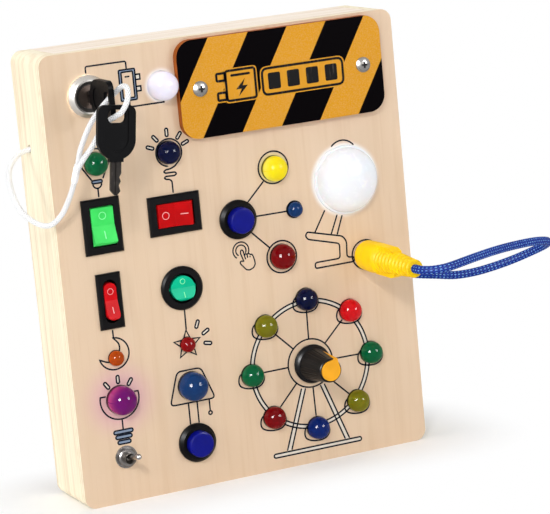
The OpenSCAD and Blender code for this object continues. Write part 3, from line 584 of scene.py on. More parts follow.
@shared
def moulded(g, *, vector=ORIGIN, colour=WHITE, rough=0.4):
    """Moulded plastic: a colour that drifts slowly, handling marks and a fine spark texture."""
    grain = g.noise(vector, 2600, 2)
    rubbed = g.between(g.noise(vector, 260, 5, 1.2), 0.56, 0.76)
    pale = g.mix(1.0, colour, (1.35, 1.35, 1.35, 1), "MULTIPLY")
    tone = g.mix(g.between(g.noise(vector, 90, 2), 0.3, 0.75, 0, 0.6), colour, pale)
    return surface(tone, rough + rubbed * 0.14 + grain * 0.08, grain)


@shared
def turned_metal(g, *, vector=ORIGIN, colour=WHITE, rough=0.2):
    """Plated or turned metal: rings of turning marks about the vector's Z, with dull patches."""
    rings = g.noise(g.placed(vector, (60, 60, 2600)), 1, 3)
    patch = g.noise(vector, 420, 4, 0.6)
    dull = g.mix(0.35, colour, (0.12, 0.11, 0.1, 1))
    tone = g.mix(g.between(patch, 0.5, 0.85, 0, 0.5), colour, dull)
    return surface(tone, rough + rings * 0.16 + patch * 0.1, rings)


@shared
def clear_lens(g, *, vector=ORIGIN, uv=ORIGIN, colour=WHITE, depth=0.3, side=0.3,
               painted_glow_colour=WHITE, toward=0.0, foot=0.85):
    """A clear coloured lens from its own UV, where u goes once round and v is 0 at the crown and
    1 at the panel: deep at the crown, paler towards the thin rim, with a painted glow on the
    side that light crosses to, a soft haze inside, and painted shade at its foot in the hole."""
    u, v, _ = g.axes(uv)
    glow_side = g.between(g.math("COSINE", u * (2 * math.pi) + toward), -0.5, 0.9)
    haze = g.noise(vector, 240, 3, 0.8)
    pale = g.mix(1.0, colour, (1.5, 1.5, 1.5, 1), "MULTIPLY")
    tone = g.mix(g.between(v, 0.42, 1.02), g.mix(depth, colour, BLACK), colour)
    tone = g.mix(g.between(haze, 0.5, 0.8, 0, 0.2), tone, pale)
    # painted glow: paler on the side that light crosses to, fixed in the lens
    tone = g.mix(glow_side * g.between(v, 0.15, 0.7) * side, tone, painted_glow_colour)
    # painted shade: darker towards black at the foot, where the lens sits in its hole
    tone = g.mix(g.between(v, 0.72, 0.88) * foot, tone, BLACK)
    rough = g.between(haze, 0.3, 0.8, 0.02, 0.06)
    return surface(tone, rough, haze, core=g.between(v, 0.9, 0.1))


@shared
def crossed_strands(g, *, vector=ORIGIN, uv=ORIGIN, colour=WHITE, fleck=WHITE, sheen_share=0.5,
                    around=8.0, pitch=0.0014, gap_shade=0.5):
    """A braided sleeve from its own UV, u once round and v along in metres: diamonds between
    two crossing families of strands, |sin a sin b| with a, b = pi (n u +- v / p), painted
    darker in the gaps as shade, with painted sheen as light spots on some crests."""
    u, v, _ = g.axes(uv)
    u, v = u * around, v / pitch
    both = g.math("SINE", (u + v) * math.pi) * g.math("SINE", (u - v) * math.pi)
    height = g.math("SQRT", abs(both))
    fibre = g.noise(g.placed(uv, (900, 24000, 1)), 1, 2)
    uneven = g.between(g.noise(vector, 700, 1), 0.3, 0.6, 0.35, 1.0)
    # painted sheen: light spots on crests of the strands
    raised = g.between(both, -0.15, 0.15) * uneven * g.between(height, 0.45, 0.85)
    # painted shade: darker towards black in the gaps between strands
    tone = g.mix(g.between(height, 0.0, 0.55), g.mix(gap_shade, colour, BLACK), colour)
    tone = g.mix(raised * sheen_share, tone, fleck)
    return surface(tone, g.between(fibre, 0.2, 0.8, 0.5, 0.72), fibre * 0.3 + height)


# ---------------------------------------------------------------- materials


class Finish(Graph):
    """A material with its Principled BSDF, and the Object and UV coordinates that it reads."""

    def __init__(self, name):
        self.material = bpy.data.materials.get(name) or bpy.data.materials.new(name)
        self.material.use_nodes = True
        super().__init__(self.material.node_tree)
        self.tree.nodes.clear()
        self.shader = self.put("BsdfPrincipled")
        self.out = self.put("OutputMaterial", {"Surface": self.shader.outputs[0]})
        self.out.is_active_output = True
        where = self.put("TexCoord").outputs
        self.v, self.uv = Wire(self, where["Object"]), Wire(self, where["UV"])

    def done(self, made, strength, depth, **fixed):
        """Puts a surface on the shader, its height as a bump, and the fixed values."""
        inputs = {"Height": made["height"], "Strength": strength, "Distance": depth * MM}
        fixed.update(Base_Color=made["colour"], Roughness=made["rough"])
        for key, value in fixed.items():
            self.feed(self.shader, key.replace("_", " "), value)
        self.feed(self.shader, "Normal", self.put("Bump", inputs).outputs[0])
        return self.material


def plastic(name, colour, rough, glow=0.0, depth=0.02, shine=0.1):
    """Moulded plastic, which also shines a little where it has a glow."""
    f = Finish(name)
    made = moulded(f, f.v, colour, rough)
    lit = {"Emission_Color": made["colour"], "Emission_Strength": glow} if glow else {}
    return f.done(made, 0.25, depth, Specular_IOR_Level=shine, **lit)


def metal_surface(f, colour, rough=0.16):
    """Turning marks about the axis that points out of the panel."""
    return turned_metal(f, f.placed(f.v, turn=OUTWARD), colour, rough)


def metal(name, colour, rough):
    """Bare or plated metal all over."""
    f = Finish(name)
    return f.done(metal_surface(f, colour, rough), 0.12, 0.02, Metallic=1.0)


def plated(name, colour, mask, other):
    """Plated metal where a mask is 1, and plastic of another colour where it is 0: the toggle's
    case, and painted shade in the lock's recess and the screws' cross recesses.
    """
    f = Finish(name)
    made = metal_surface(f, colour)
    rest = moulded(f, f.v, other, 0.4)
    part = mask(f)
    made["colour"] = f.mix(part, rest["colour"], made["colour"])
    made["rough"] = part * (made["rough"] - rest["rough"]) + rest["rough"]
    return f.done(made, 0.12, 0.02, Specular_IOR_Level=0.2, Metallic=part)


def far_from(f, place):
    """Distance across the panel from a place on it."""
    x, _, z = f.axes(f.v)
    x, z = x - (LEFT + place[0] * MM), z - place[1] * MM
    return f.math("SQRT", x * x + z * z)


def bush_mask(f):
    """1 on the toggle's threaded bush, 0 on its case behind the panel."""
    return f.between(f.axes(f.v)[1], FRONT + (PANEL_T + 0.1) * MM, FRONT + (PANEL_T - 0.1) * MM)


def flange_mask(f):
    """1 on the lock's flange, 0 in its recess, which is painted dark as shade."""
    return f.between(far_from(f, LOCK), (LOCK_RECESS_R - 0.1) * MM, (LOCK_RECESS_R + 0.1) * MM)


def cross_mask(f):
    """0 in the cross recesses of the plate's two screws, which are painted near black as
    shade, and 1 elsewhere.
    """
    x, _, z = f.axes(f.v)
    x = abs(abs(x - (LEFT + PLATE[0] * MM)) - PLATE_SCREW * MM)
    z = abs(z - PLATE[1] * MM)
    bars = [
        f.math("LESS_THAN", a, CROSS_REACH * MM) * f.math("LESS_THAN", b, CROSS_HALF * MM)
        for a, b in ((x, z), (z, x))
    ]
    return 1.0 - f.math("MAXIMUM", *bars)


def lens(name, colour, lit=0.0, side=0.35, painted_glow_colour=None, toward=-35, foot=0.85):
    """Clear plastic over colour, with a painted glow on the side whose direction is given in
    degrees from the right, and painted shade at its foot; a lit one also shines, most at its
    crown."""
    f = Finish(name)
    # The painted glow's colour is by default a paler copy of the lens colour
    if painted_glow_colour is None:
        painted_glow_colour = [min(1.0, 1.7 * c + 0.004) for c in tuple(colour)[:3]]
    depth, toward = 0.0 if lit else 0.35, math.pi - math.radians(toward)
    made = clear_lens(f, f.v, f.uv, colour, depth, side, painted_glow_colour, toward, foot)
    fixed = {"Subsurface_Weight": 0.2, "Subsurface_Scale": 0.003, "IOR": 1.49}
    if lit:
        hot = f.mix(made["core"], made["colour"], f.mix(0.12, colour, WHITE))
        fixed.update(Emission_Color=hot, Emission_Strength=lit)
    return f.done(made, 0.02, 0.01, Specular_IOR_Level=0.1, **fixed)


def braid(name, colour, fleck, sheen_share, around, pitch, gap_shade):
    """A braided cord's sleeve; the pitch is in millimetres."""
    f = Finish(name)
    made = crossed_strands(f, f.v, f.uv, colour, fleck, sheen_share, around, pitch * MM, gap_shade)
    return f.done(made, 0.35, 0.12, Specular_IOR_Level=0.12)


def printed(name, colour):
    """Screen-printed ink: even, with thin spots where the grain shows through."""
    f = Finish(name)
    thin = f.between(f.noise(f.placed(f.v, (700, 700, 90)), 1, 3), 0.55, 0.8, 0, 0.3)
    tone = f.mix(thin, colour, f.mix(0.4, colour, (0.72, 0.6, 0.46, 1)))
    made = surface(tone, f.between(thin, 0, 0.3, 0.42, 0.6), f.noise(f.v, 1500, 2))
    return f.done(made, 0.1, 0.01, Specular_IOR_Level=0.06)


# Where a lit lamp's light falls on the panel: place, where it starts, how far it reaches, its
# strength and its colour
HALOS = [
    (PURPLE_LAMP, 7, 22, 0.33, (216, 120, 196)),
    (POWER_LAMP, 7, 4, 0.9, (255, 255, 255)),
    (DOME, 17.8, 4, 0.9, (255, 255, 255)),
    (YELLOW_LAMP, 6, 4, 0.6, (250, 246, 120)),
    ((158.75, 78.45), 5.5, 2.6, 0.6, (255, 150, 150)),
]


def on_face(f, level):
    """1 on the face at a level, 0 behind it."""
    return f.between(f.axes(f.v)[1], level + 0.06 * MM, level + 0.02 * MM)


def veneer(p):
    """The front panel: veneer on its face with upright grain and the light of the lit lamps,
    and the plies on its edges, as light and dark bands through its thickness."""
    f = Finish("plywood_face_and_edges")
    face = wood(f, f.placed(f.v, turn=UPRIGHT), p.face, p.grain, 0.18, 0.12, 0.28)
    cut = wood(f, f.v, p.edge, p.grain, 0.2, 0.15, 0.1)
    wobble = f.noise(f.v, 60, 2) * (0.25 * MM) + f.axes(f.v)[1]
    plies = f.between(f.math("SINE", wobble * (2 * math.pi / (2.4 * MM))), 0.1, 0.9, 0, 0.4)
    front, shone = on_face(f, FRONT), face["colour"]
    for place, start, reach, strength, colour in HALOS:
        near = f.between(far_from(f, place), (start + reach) * MM, start * MM)
        shone = f.mix(near * near * strength, shone, linear(colour))
    face["colour"] = f.mix(front, f.mix(plies, cut["colour"], p.grain), shone)
    face["rough"] = face["rough"] - front * 0.08
    return f.done(face, 0.12, 0.03, Specular_IOR_Level=0.2)


def rail_wood(name, p, light, turn):
    """Frame wood with its grain along the rail and a glue line where plies meet."""
    f = Finish(name)
    v = f.placed(f.v, turn=turn)
    made = wood(f, v, light, p.grain, 0.42, 0.22, 0.12)
    wobble = f.noise(f.placed(v, (4, 60, 60)), 1, 2) * (1.6 * MM) + f.axes(f.v)[1]
    line = abs(f.math("SINE", wobble * (2 * math.pi / (10.4 * MM))))
    made["colour"] = f.mix(f.between(line, 0.16, 0.0, 0, 0.5), made["colour"], p.grain)
    return f.done(made, 0.15, 0.04)


def back_wood(p):
    """Plain wood with upright grain."""
    f = Finish("back_board_wood")
    v = f.placed(f.v, turn=UPRIGHT)
    return f.done(wood(f, v, p.back, p.grain, 0.45, 0.35, 0.3), 0.2, 0.04)


def plate_paint(p):
    """Printed stripes that lean to the right over the plate's face, and its bare cut edge."""
    f = Finish("plate_stripes")
    x, _, z = f.axes(f.v)
    start = LEFT + STRIPE_FROM[0] * MM - STRIPE_LEAN * STRIPE_FROM[1] * MM
    part = f.math("FRACT", (x - z * STRIPE_LEAN - start) / (2 * p.stripe))
    dark = f.between(part, 0.496, 0.504) * f.between(part, 1.0, 0.996)
    worn = f.noise(f.v, 1500, 3)
    yellow = f.mix(f.between(worn, 0.35, 0.8, 0, 0.07), p.yellow, WHITE)
    fibres = f.between(f.noise(f.placed(f.v, (80, 900, 80)), 1, 3), 0.4, 0.7)
    edge = f.mix(fibres, p.edge, f.mix(0.45, p.edge, BLACK))
    front = on_face(f, FRONT - PLATE_FACE * MM)
    tone = f.mix(front, edge, f.mix(dark, yellow, p.black))
    made = surface(tone, f.between(worn, 0.2, 0.8, 0.3, 0.44), worn)
    return f.done(made, 0.06, 0.02, Specular_IOR_Level=0.01)


def paint(mat, *nodes):
    """Gives CAD nodes' objects one material."""
    for node in nodes:
        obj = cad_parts[node]
        if not obj.material_slots:
            obj.data.materials.append(mat)
        for slot in obj.material_slots:
            slot.material = mat


def wear(obj, slot, *mats, body="board", stands_for=None):
    """Gives a new piece its materials and the body that it rides on, if one, and hides the CAD
    node that it stands for, if one. The slot is not used."""
    for mat in mats:
        obj.data.materials.append(mat)
    if body:
        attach(obj, body)
    if stands_for:
        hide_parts(stands_for)


# ---------------------------------------------------------------- cords

# The routes of part.scad, as X, Y and Z in millimetres, point after point
STRING_ROUTE = [
    -90, 6, 186, -98, 6, 186, -106, 5, 184, -113, 0, 178, -116, -8, 170, -115, -15, 160,
    -110, -21, 153, -104, -26, 151, -99, -31, 156, -96, -36, 164, -93.5, -40, 173,
    -92, -43, 181, -90, -45, 190, -84.5, -46.5, 201, -79, -48, 208, -74.6, -49, 212.4,
    -71, -51, 216, -69.3, -55.3, 218.7, -69, -60.8, 219.2, -70.2, -66, 217.2,
    -72.4, -68.7, 212.8, -74.7, -66.6, 208, -76.3, -61.6, 205.6, -78.8, -56.2, 202.6,
    -82.4, -53, 197.2, -86.3, -51, 190.8, -90.3, -48.7, 185.3, -93, -46, 180.3,
    -94.3, -43.4, 175.5,
]
CORD_ROUTE = [
    89, -1, 90, 99, -1, 90, 110, -2, 87, 121.5, -4.5, 85, 132, -7.5, 83.5, 142, -11, 84,
    152, -15, 86, 161.5, -20, 89, 169, -27, 93, 172.5, -35.5, 97, 170.5, -44, 100.5,
    164, -50.5, 103, 153, -57, 105, 137, -65, 106.5, 121, -73.5, 107.5, 106, -82, 108,
    97, -86.6, 108, 89.5, -89.9, 107.8, 82.6, -91.4, 107.4, 76.6, -89.6, 107,
    73.2, -85, 106.8, 72.2, -79, 106.7, 72.2, -73, 106.7,
]
SLEEVE = (-93.2, -43, 177.7)
SLEEVE_AXIS = (0.174, -0.313, 0.934)
SLEEVE_WIDE = (0.384, 0.893, 0.228)


def braided(name, route, diameter, step, sides, around, pitch, exit_point, **facts):
    """A braided cord along its route: radius = r (0.93 + 0.07 sqrt|sin a sin b|) with a and b
    = pi (n turn / 2 pi +- along / pitch), carried along the curve through the route's points."""
    path = evenly(flowing(np.reshape(route, (-1, 3)) * MM, 12), step * MM)
    r = diameter / 2

    def radius(turn, along):
        u, v = around * turn / (2 * np.pi), along / (pitch * MM)
        weave = np.sqrt(np.abs(np.sin(np.pi * (u + v)) * np.sin(np.pi * (u - v))))
        return r * (0.93 + 0.07 * weave)

    points, faces, along = carried(path, radius, sides)
    obj = mesh_object(name, points, faces, 180, mend=False)
    tube_uv(obj.data, sides, len(path), along[-1])
    return obj


def whipping():
    """The sleeve round the white cord's two strands: an oval of half widths 3.1 and 1.7 with a
    thread wound on it, radius + 0.12 |cos| along it, its two ends drawn in and closed."""
    rings, sides = 65, 40
    axis, wide = unit(np.array(SLEEVE_AXIS)), np.array(SLEEVE_WIDE)
    wide = unit(wide - (wide @ axis) * axis)
    t = np.linspace(-1, 1, rings)[:, None, None]
    a = (np.arange(sides) * 2 * np.pi / sides)[None, :, None]
    swell, wound = 1 - 0.12 * t**4, 0.12 * np.abs(np.cos(t * 4 * np.pi))
    grid = (
        np.array(SLEEVE) + t * 4.4 * axis + np.cos(a) * (3.1 * swell + wound) * wide
        + np.sin(a) * (1.7 * swell + wound) * np.cross(axis, wide)
    )
    points = grid.reshape(-1, 3) * MM
    return mesh_object("cord_whipping", points, tube_faces(rings, sides), 60)


# ---------------------------------------------------------------- lenses


def lens_profile(r, barrel):
    """A lamp from its crown to the back of its flange: a round crown, a straight barrel through
    the panel, the flange behind it; radius and height."""
    a = np.radians(np.linspace(90, 0, 25))
    crown = np.stack([r * np.cos(a), r * (barrel + np.sin(a))], -1)
    front, back = -PANEL_T, -PANEL_T - 1.6
    return np.concatenate([crown, at(r, 0, r, front, r + 1, front, r + 1, back, 0, back)])


def lens_object(name, places, r, profile):
    """One or more turned lenses with their leads; UV u goes round and v from crown to panel."""
    sides = 72
    parts = []
    for place in places:
        points, faces = turned(profile, sides)
        parts.append((device(place, points), faces))
        for s in (-1, 1):
            lead = np.array([[s * r * 0.3, 0, -PANEL_T - 8], [s * r * 0.3, 0, -PANEL_T - 1.2]])
            lead = evenly(device(place, lead), 2 * MM)
            q, f, _ = carried(lead, lambda turn, along: 0.4 * MM, 10)
            parts.append((q, f))
    points, faces = joined(parts)
    obj = mesh_object(name, points, faces, 35)
    mesh = obj.data
    place = column(mesh.vertices, "co", width=3).reshape(-1, 3)
    middles = np.array([[LEFT + p[0] * MM, p[1] * MM] for p in places])
    offset = place[:, None, [0, 2]] - middles[None]
    nearest = offset[np.arange(len(place)), np.linalg.norm(offset, axis=2).argmin(1)]
    u = np.arctan2(nearest[:, 1], nearest[:, 0]) / (2 * np.pi) + 0.5
    v = 1 - np.clip((FRONT - place[:, 1]) / (profile[0, 1] * MM), 0, 1)
    corner = column(mesh.loops, "vertex_index", np.int32)
    set_uv(mesh, u[corner], v[corner])
    return obj


def dome_profile():
    """The large dome: a low flattened cap on a rim, its spigot behind: radius and height."""
    a = np.radians(np.linspace(90, 4, 40))
    cap = np.stack([17.2 * np.cos(a), 2.2 + 10.8 * np.sin(a)], -1)
    rim = at(17.2, 2.2, 17.9, 2.1, 18.2, 1.8, 18.2, 0.2, 18.05, 0)
    return np.concatenate([cap, rim, at(9, 0, 9, -PANEL_T - 1, 0, -PANEL_T - 1)])


# ---------------------------------------------------------------- marks on the rockers

PIVOT_Z, RISE, TILT = -0.8, 3.2, 10.0


def on_paddle(points, height):
    """Points drawn flat on a paddle, X across and Y from its pressed end to its raised end,
    moved onto its two faces: the pressed one is level and the raised one slopes by two tilts."""
    p = np.asarray(points, float)
    t = math.radians(TILT)
    valley = (RISE * math.sin(t), PIVOT_Z + RISE * math.cos(t))
    s = p[:, 1]
    up = s < 0
    y = np.where(up, valley[0] + s * math.cos(2 * t), valley[0] + s)
    z = np.where(up, valley[1] - s * math.sin(2 * t), valley[1])
    y += np.where(up, height * math.sin(2 * t), 0)
    z += np.where(up, height * math.cos(2 * t), height)
    return np.stack([p[:, 0], y, z], -1)


def rocker_marks(name, place, lying, o_at, i_at, scale):
    """The ring and the bar of a rocker, thin raised patches on its two faces."""
    inner, outer = (circle((0, o_at), r * scale, 40) for r in (1.85, 2.2))
    bar = pill((0, i_at), 4.6 * scale, 0.5 * scale, 90)
    rings = (inner, 0.0), (inner, 0.06), (outer, 0.06), (outer, 0.0)
    points, faces = joined([
        (np.concatenate([on_paddle(p, h) for p, h in rings]), grid_faces(4, 40, True, True)),
        (np.concatenate([on_paddle(bar, h) for h in (0.0, 0.06)]), tube_faces(2, len(bar))),
    ])
    if lying:
        points = np.stack([-points[:, 1], points[:, 0], points[:, 2]], -1)
    return mesh_object(name, device(place, points), faces, 30)


# ---------------------------------------------------------------- printed drawings


def lines(paths, width, closed=False, low=-0.02, high=0.05):
    """Flat bands along several paths."""
    return [flat_band(p, width, low, high, closed) for p in paths]


def fills(outlines, low=-0.02, high=0.02):
    """Flat patches inside several outlines."""
    return [flat_patch(o, low, high) for o in outlines]


def inked(w, strokes, rings=(), pale=(), middle=()):
    """A drawing's parts in each ink: lines along open strokes and closed rings, and the fills."""
    return lines(strokes, w) + lines(rings, w, True), pale, middle


def drawing(name, inks, base=0.0):
    """One printed drawing from its parts in each ink, whose faces take the material of the same
    number."""
    layers = [joined(parts) for parts in inks if parts]
    numbers = [number for number, parts in enumerate(inks) if parts]
    points, faces = joined(layers)
    obj = mesh_object(name, device((0, 0), points + np.array([0, 0, base])), faces, 30, mend=False)
    index = np.repeat(numbers, [len(f) for _, f in layers]).astype(np.int32)
    obj.data.polygons.foreach_set("material_index", index)
    put_right(obj.data)
    return obj


def rect(left, low, right, high):
    """The four corners of an upright box."""
    return at(left, low, right, low, right, high, left, high)


def rounded(left, low, right, high, radius):
    """An upright box with its corners eased."""
    return eased_ring(rect(left, low, right, high), radius)


def shine(places, length, width):
    """Outlines of little rays, a pill at each place of x, y and angle."""
    return [pill(p[:2], length, width, p[2]) for p in places]


def draw_battery(w):
    """A cell in its holder with two tabs and its signs, and the wires that leave it: straight
    strokes with eased corners, and a pale band halfway between the two boxes."""
    box, cell = rect(42.1, 206.9, 50.9, 222.7), rect(43.4, 208.1, 49.7, 221.5)
    tabs = [rect(50.9, 216.9, 53.4, 219.5), rect(50.9, 211, 53.4, 213.4)]
    strokes = [
        eased(at(24.6, 223.5, 24.6, 227, 46.5, 226.9, 46.5, 222.9), 1),
        at(46.5, 206.6, 46.5, 203.5, 65.2, 203.5, 65.2, 204.6),
        at(45.1, 219, 47.9, 219), at(45.1, 212.1, 47.7, 212.1), at(46.4, 210.8, 46.4, 213.4),
    ]
    rings = [eased_ring(box, 0.8), eased_ring(cell, 0.6), *tabs]
    band = flat_band((box + cell) / 2, 1.75, -0.02, 0.02, True)
    return inked(w, strokes, rings, fills(tabs), [band])


def draw_green_bulb(w):
    """A bulb's arc of 164 degrees between straight flanks, with its tip, cup and stem."""
    glass = np.concatenate([
        at(21.8, 169.2, 18.2, 174.6, 17, 176.5), arc((24.3, 177.7), 7.6, 172, 8, 24),
        at(31.6, 176.5, 30.3, 174.6, 27.8, 169.5),
    ])
    tip = np.concatenate([[[22, 167.3]], arc((24.5, 167.2), 2.3, 200, 340, 12), [[27, 167.3]]])
    cup = pill((24.5, 168.3), 5.6, 1.6)
    return inked(w, [eased(glass, 1.2), tip, at(24.6, 165, 24.6, 160.3)], [cup], [], fills([cup]))


def draw_navy_bulb(w):
    """A bulb's arc of 311 degrees that runs down into a curled line, with five rays."""
    curl = np.concatenate([
        arc((65, 177.3), 7.1, 261, -50, 60),
        at(67.5, 169.9, 65, 168.9, 62.3, 168.7, 61.1, 167.8, 62, 167, 67.3, 166.9,
         68.2, 165.9, 67, 165.1, 62, 165.3, 61.1, 164.5, 62.3, 163.7, 64, 163.5,
         65.2, 162.4, 65.2, 156.3),
    ])
    rays = shine([(55, 181.1, 159), (58.2, 185.4, 130), (64.8, 187.8, 90), (71.3, 185.3, 52),
                  (74.4, 181.2, 22)], 4.2, 1.5)
    return inked(w, [eased(curl, 0.8)], rays, fills(rays))


def draw_network(w):
    """Three straight lines, and a circle round each of the lamps that they lead to."""
    strokes = [
        at(105.9, 144.7, 116.2, 154.6), at(109.7, 136.9, 128.4, 136.8),
        at(105.9, 129.6, 116.2, 119.2),
    ]
    rings = [circle((122.4, 161), 8.5), circle((122.6, 113.4), 8.5), circle((132.3, 137.2), 4.3)]
    return inked(w, strokes, rings)


def draw_tap(w):
    """A pointing hand as an eased ring, its finger lines, and two arcs round its tip."""
    hand = at(
        99.5, 120.2, 99.3, 119, 100.8, 114.5, 100.3, 114.6, 99.3, 114.9,
        98.6, 114.2, 99, 113.2, 101.8, 109.9, 103.6, 109.4, 106, 110.3,
        107.1, 112, 107, 113.8, 106.3, 116.5, 105.6, 117.6, 104.9, 117.4,
        104.3, 118, 103.4, 118.3, 103, 117.4, 102.7, 118.2, 101.8, 118.3,
        101.5, 117, 101, 119.8, 100.5, 120.5, 99.9, 120.6,
    )
    strokes = [
        at(101.5, 117, 102, 115.3), at(103, 117.4, 103.2, 115.9), at(104.6, 116.9, 104.5, 116),
        arc((99.7, 120.4), 4.5, -30, 235, 40), arc((99.7, 120.4), 2.9, -35, 240, 30),
    ]
    return inked(w * 0.85, strokes, [eased_ring(hand, 0.5)])


def draw_desk_lamp(w):
    """A desk lamp below the dome: its body as an eased ring, straight lines towards the dome, an
    arc above it and a circle at its foot."""
    body = at(
        138.4, 124, 158.8, 118.6, 160.8, 115.5, 160.3, 107, 164.6, 106.4, 164.5, 104,
        141.3, 103.9, 141.5, 107, 156.2, 107, 156.6, 115, 138.6, 120, 137.2, 122,
    )
    strokes = [
        at(149.8, 134, 142.9, 123), at(156.7, 130.5, 152.3, 120.7),
        at(159.6, 129.8, 155.7, 119.9), arc((162.9, 160.8), 8.6, 36, 136),
    ]
    return inked(w, strokes, [eased_ring(body, 1.6), circle((171.2, 106.7), 7.8)])


def draw_moon(w):
    """A crescent, an arc of 254 degrees closed by a smooth inner curve, and its stem."""
    horn = at(15.8, 76.8, 20.3, 74.9, 24, 75.8, 26.8, 79.6, 26.9, 83.5, 24.1, 87.1)
    moon = np.concatenate([arc((23.8, 78.8), 8.3, 88, -166, 48), flowing(horn, 6)[1:-1]])
    return inked(w, [at(24.4, 91.3, 24.4, 87.4)], [moon])


def draw_star(w):
    """A star of five outer points, with an inner one between each two of them, 3.4 from the
    centre; three rays and a stem."""
    c = np.array([64.6, 76.4])
    outer = at(64.6, 84.1, 71.9, 78.8, 69.1, 70.2, 60.1, 70.2, 57.3, 78.8)
    inner = (outer + np.roll(outer, -1, 0)) / 2 - c
    inner = c + inner / np.linalg.norm(inner, axis=1)[:, None] * 3.4
    star = np.stack([outer, inner], 1).reshape(-1, 2)
    rays = shine([(71.1, 86.1, 68), (75.4, 81.4, 30), (76.1, 75.2, -12)], 4.4, 1.6)
    return inked(w, [at(64.9, 95, 64.8, 84.2)], [star, *rays], fills(rays))


def draw_purple_bulb(w):
    """A bulb's arc of 206 degrees on two straight ends, three pills as its cap, rays and a stem."""
    glass = np.concatenate([[[17, 57.3]], arc((24.3, 54.9), 10.7, 167, 373, 48), [[31.6, 57.3]]])
    rays = shine([(18, 62.9, 125), (24.4, 65.1, 90), (30.8, 62.8, 55)], 4.2, 1.6)
    caps = [pill((24.5, y), length, 1.9) for y, length in ((37.5, 10.6), (34.8, 9), (32, 7.2))]
    return inked(w, [glass, at(24.5, 44.2, 24.5, 38.5)], rays + caps, fills(rays), fills(caps))


def draw_table_lamp(w):
    """A shade, its four corners eased, two legs, and a pull line that ends in a bead."""
    shade = at(57.2, 63, 70.7, 63, 77.3, 45.6, 51.8, 45.6)
    legs = [[[x, 45.6], [x, foot]] for x, foot in ((61.9, 33.9), (66.8, 33.9), (73.7, 39.3))]
    return inked(w, legs, [eased_ring(shade, 2.6), circle((73.7, 38.2), 0.95, 20)])


def draw_wheel(w):
    """A big wheel: two rims with a pale band between them, a hub, a spoke towards each lamp, a
    smooth cabin curve beside each lamp, and two pairs of legs on a foot."""
    hub, rim = np.array([133.4, 54.0]), np.array([133.4, 53.7])
    cabin = flowing(at(
        -4.8, 2.4, -6.9, 0.3, -7.6, -2.7, -6.6, -5.1, -3.3, -6.7, 1.2, -7.2,
        4.7, -6.4, 6.7, -4.2, 7.3, -1.5,
    ), 5)
    legs = [
        (at(126.9, 41.3, 115.4, 9.3), at(129.2, 41, 118, 9.3)),
        (at(138, 41.2, 149.8, 9.3), at(140.3, 41.5, 152.3, 9.3)),
    ]
    foot = pill((133.4, 7.7), 51.8, 2.1)
    strokes = [ray(hub, p, 13, np.linalg.norm(p - hub) - 19.2) for p in WHEEL_LAMPS]
    strokes += [cabin + p for p in WHEEL_LAMPS] + [leg for pair in legs for leg in pair]
    rings = [circle(rim, 32.8, 128), circle(rim, 34.9, 128), circle(hub, 13, 80), foot]
    pale = [flat_band(circle(rim, 33.85, 128), 2.1, -0.02, 0.02, True)]
    pale += fills([[a[0], b[0], b[1], a[1]] for a, b in legs], high=0.026)
    return inked(w, strokes, rings, pale + fills([foot], high=0.032))


def draw_charge(w):
    """The plate's drawing: a battery with a bolt, and a row of charge bars in a frame."""
    bolt = at(109.2, 210.2, 103.8, 204.9, 106.9, 204.9, 105, 201.2, 110.6, 206.5, 107.6, 206.5)
    rings = [
        rounded(98.5, 199.5, 115, 215, 1.4), rounded(93.4, 210.4, 98.2, 214.2, 0.8),
        rounded(93.4, 200.4, 98.2, 204.2, 0.8), rounded(119, 199.8, 165.2, 213.4, 3),
    ]
    under = [
        rounded(97.3, 198.3, 116.2, 216.2, 2.4), rounded(92.2, 209.2, 98.4, 215.4, 1.2),
        rounded(92.2, 199.2, 98.4, 205.4, 1.2), rounded(117.8, 198.6, 166.4, 214.6, 4),
    ]
    bars = [rounded(x, 202.3, x + 7, 210.9, 1) for x in 122.2 + 10.9 * np.arange(4)]
    low, high = 0.0, 0.08
    dark = lines(rings, 1.3 * w, True, low, high) + fills([bolt] + bars, low, high)
    dark += lines([at(101.2, 212.4, 112.3, 212.4)], 1.3 * w, False, low, high)
    return dark, fills(under, low, high / 2), []


DRAWINGS = (
    draw_battery, draw_green_bulb, draw_navy_bulb, draw_network, draw_tap, draw_desk_lamp,
    draw_moon, draw_star, draw_purple_bulb, draw_table_lamp, draw_wheel,
)


# ---------------------------------------------------------------- operators


class BOARD_OT_camera(Operator):
    """Sets the camera where the board is seen from its left, a little above"""

    bl_idname = "board.camera"
    bl_label = "Camera"

    def execute(self, context):
        data = bpy.data.cameras.new("camera")
        data.lens, data.sensor_width, data.sensor_fit = 178.0, 36.0, "HORIZONTAL"
        data.clip_start, data.clip_end = 0.01, 50
        right, up = (0.903, -0.4197, -0.0919), (0.161, 0.1322, 0.9781)
        back = (-0.3983, -0.898, 0.1869)
        turn = Matrix((right, up, back)).transposed().to_4x4()
        camera = bpy.data.objects.new("camera", data)
        camera.matrix_world = Matrix.Translation((-0.5475, -1.2997, 0.38)) @ turn
        context.scene.collection.objects.link(camera)
        context.scene.camera = camera
        return {"FINISHED"}


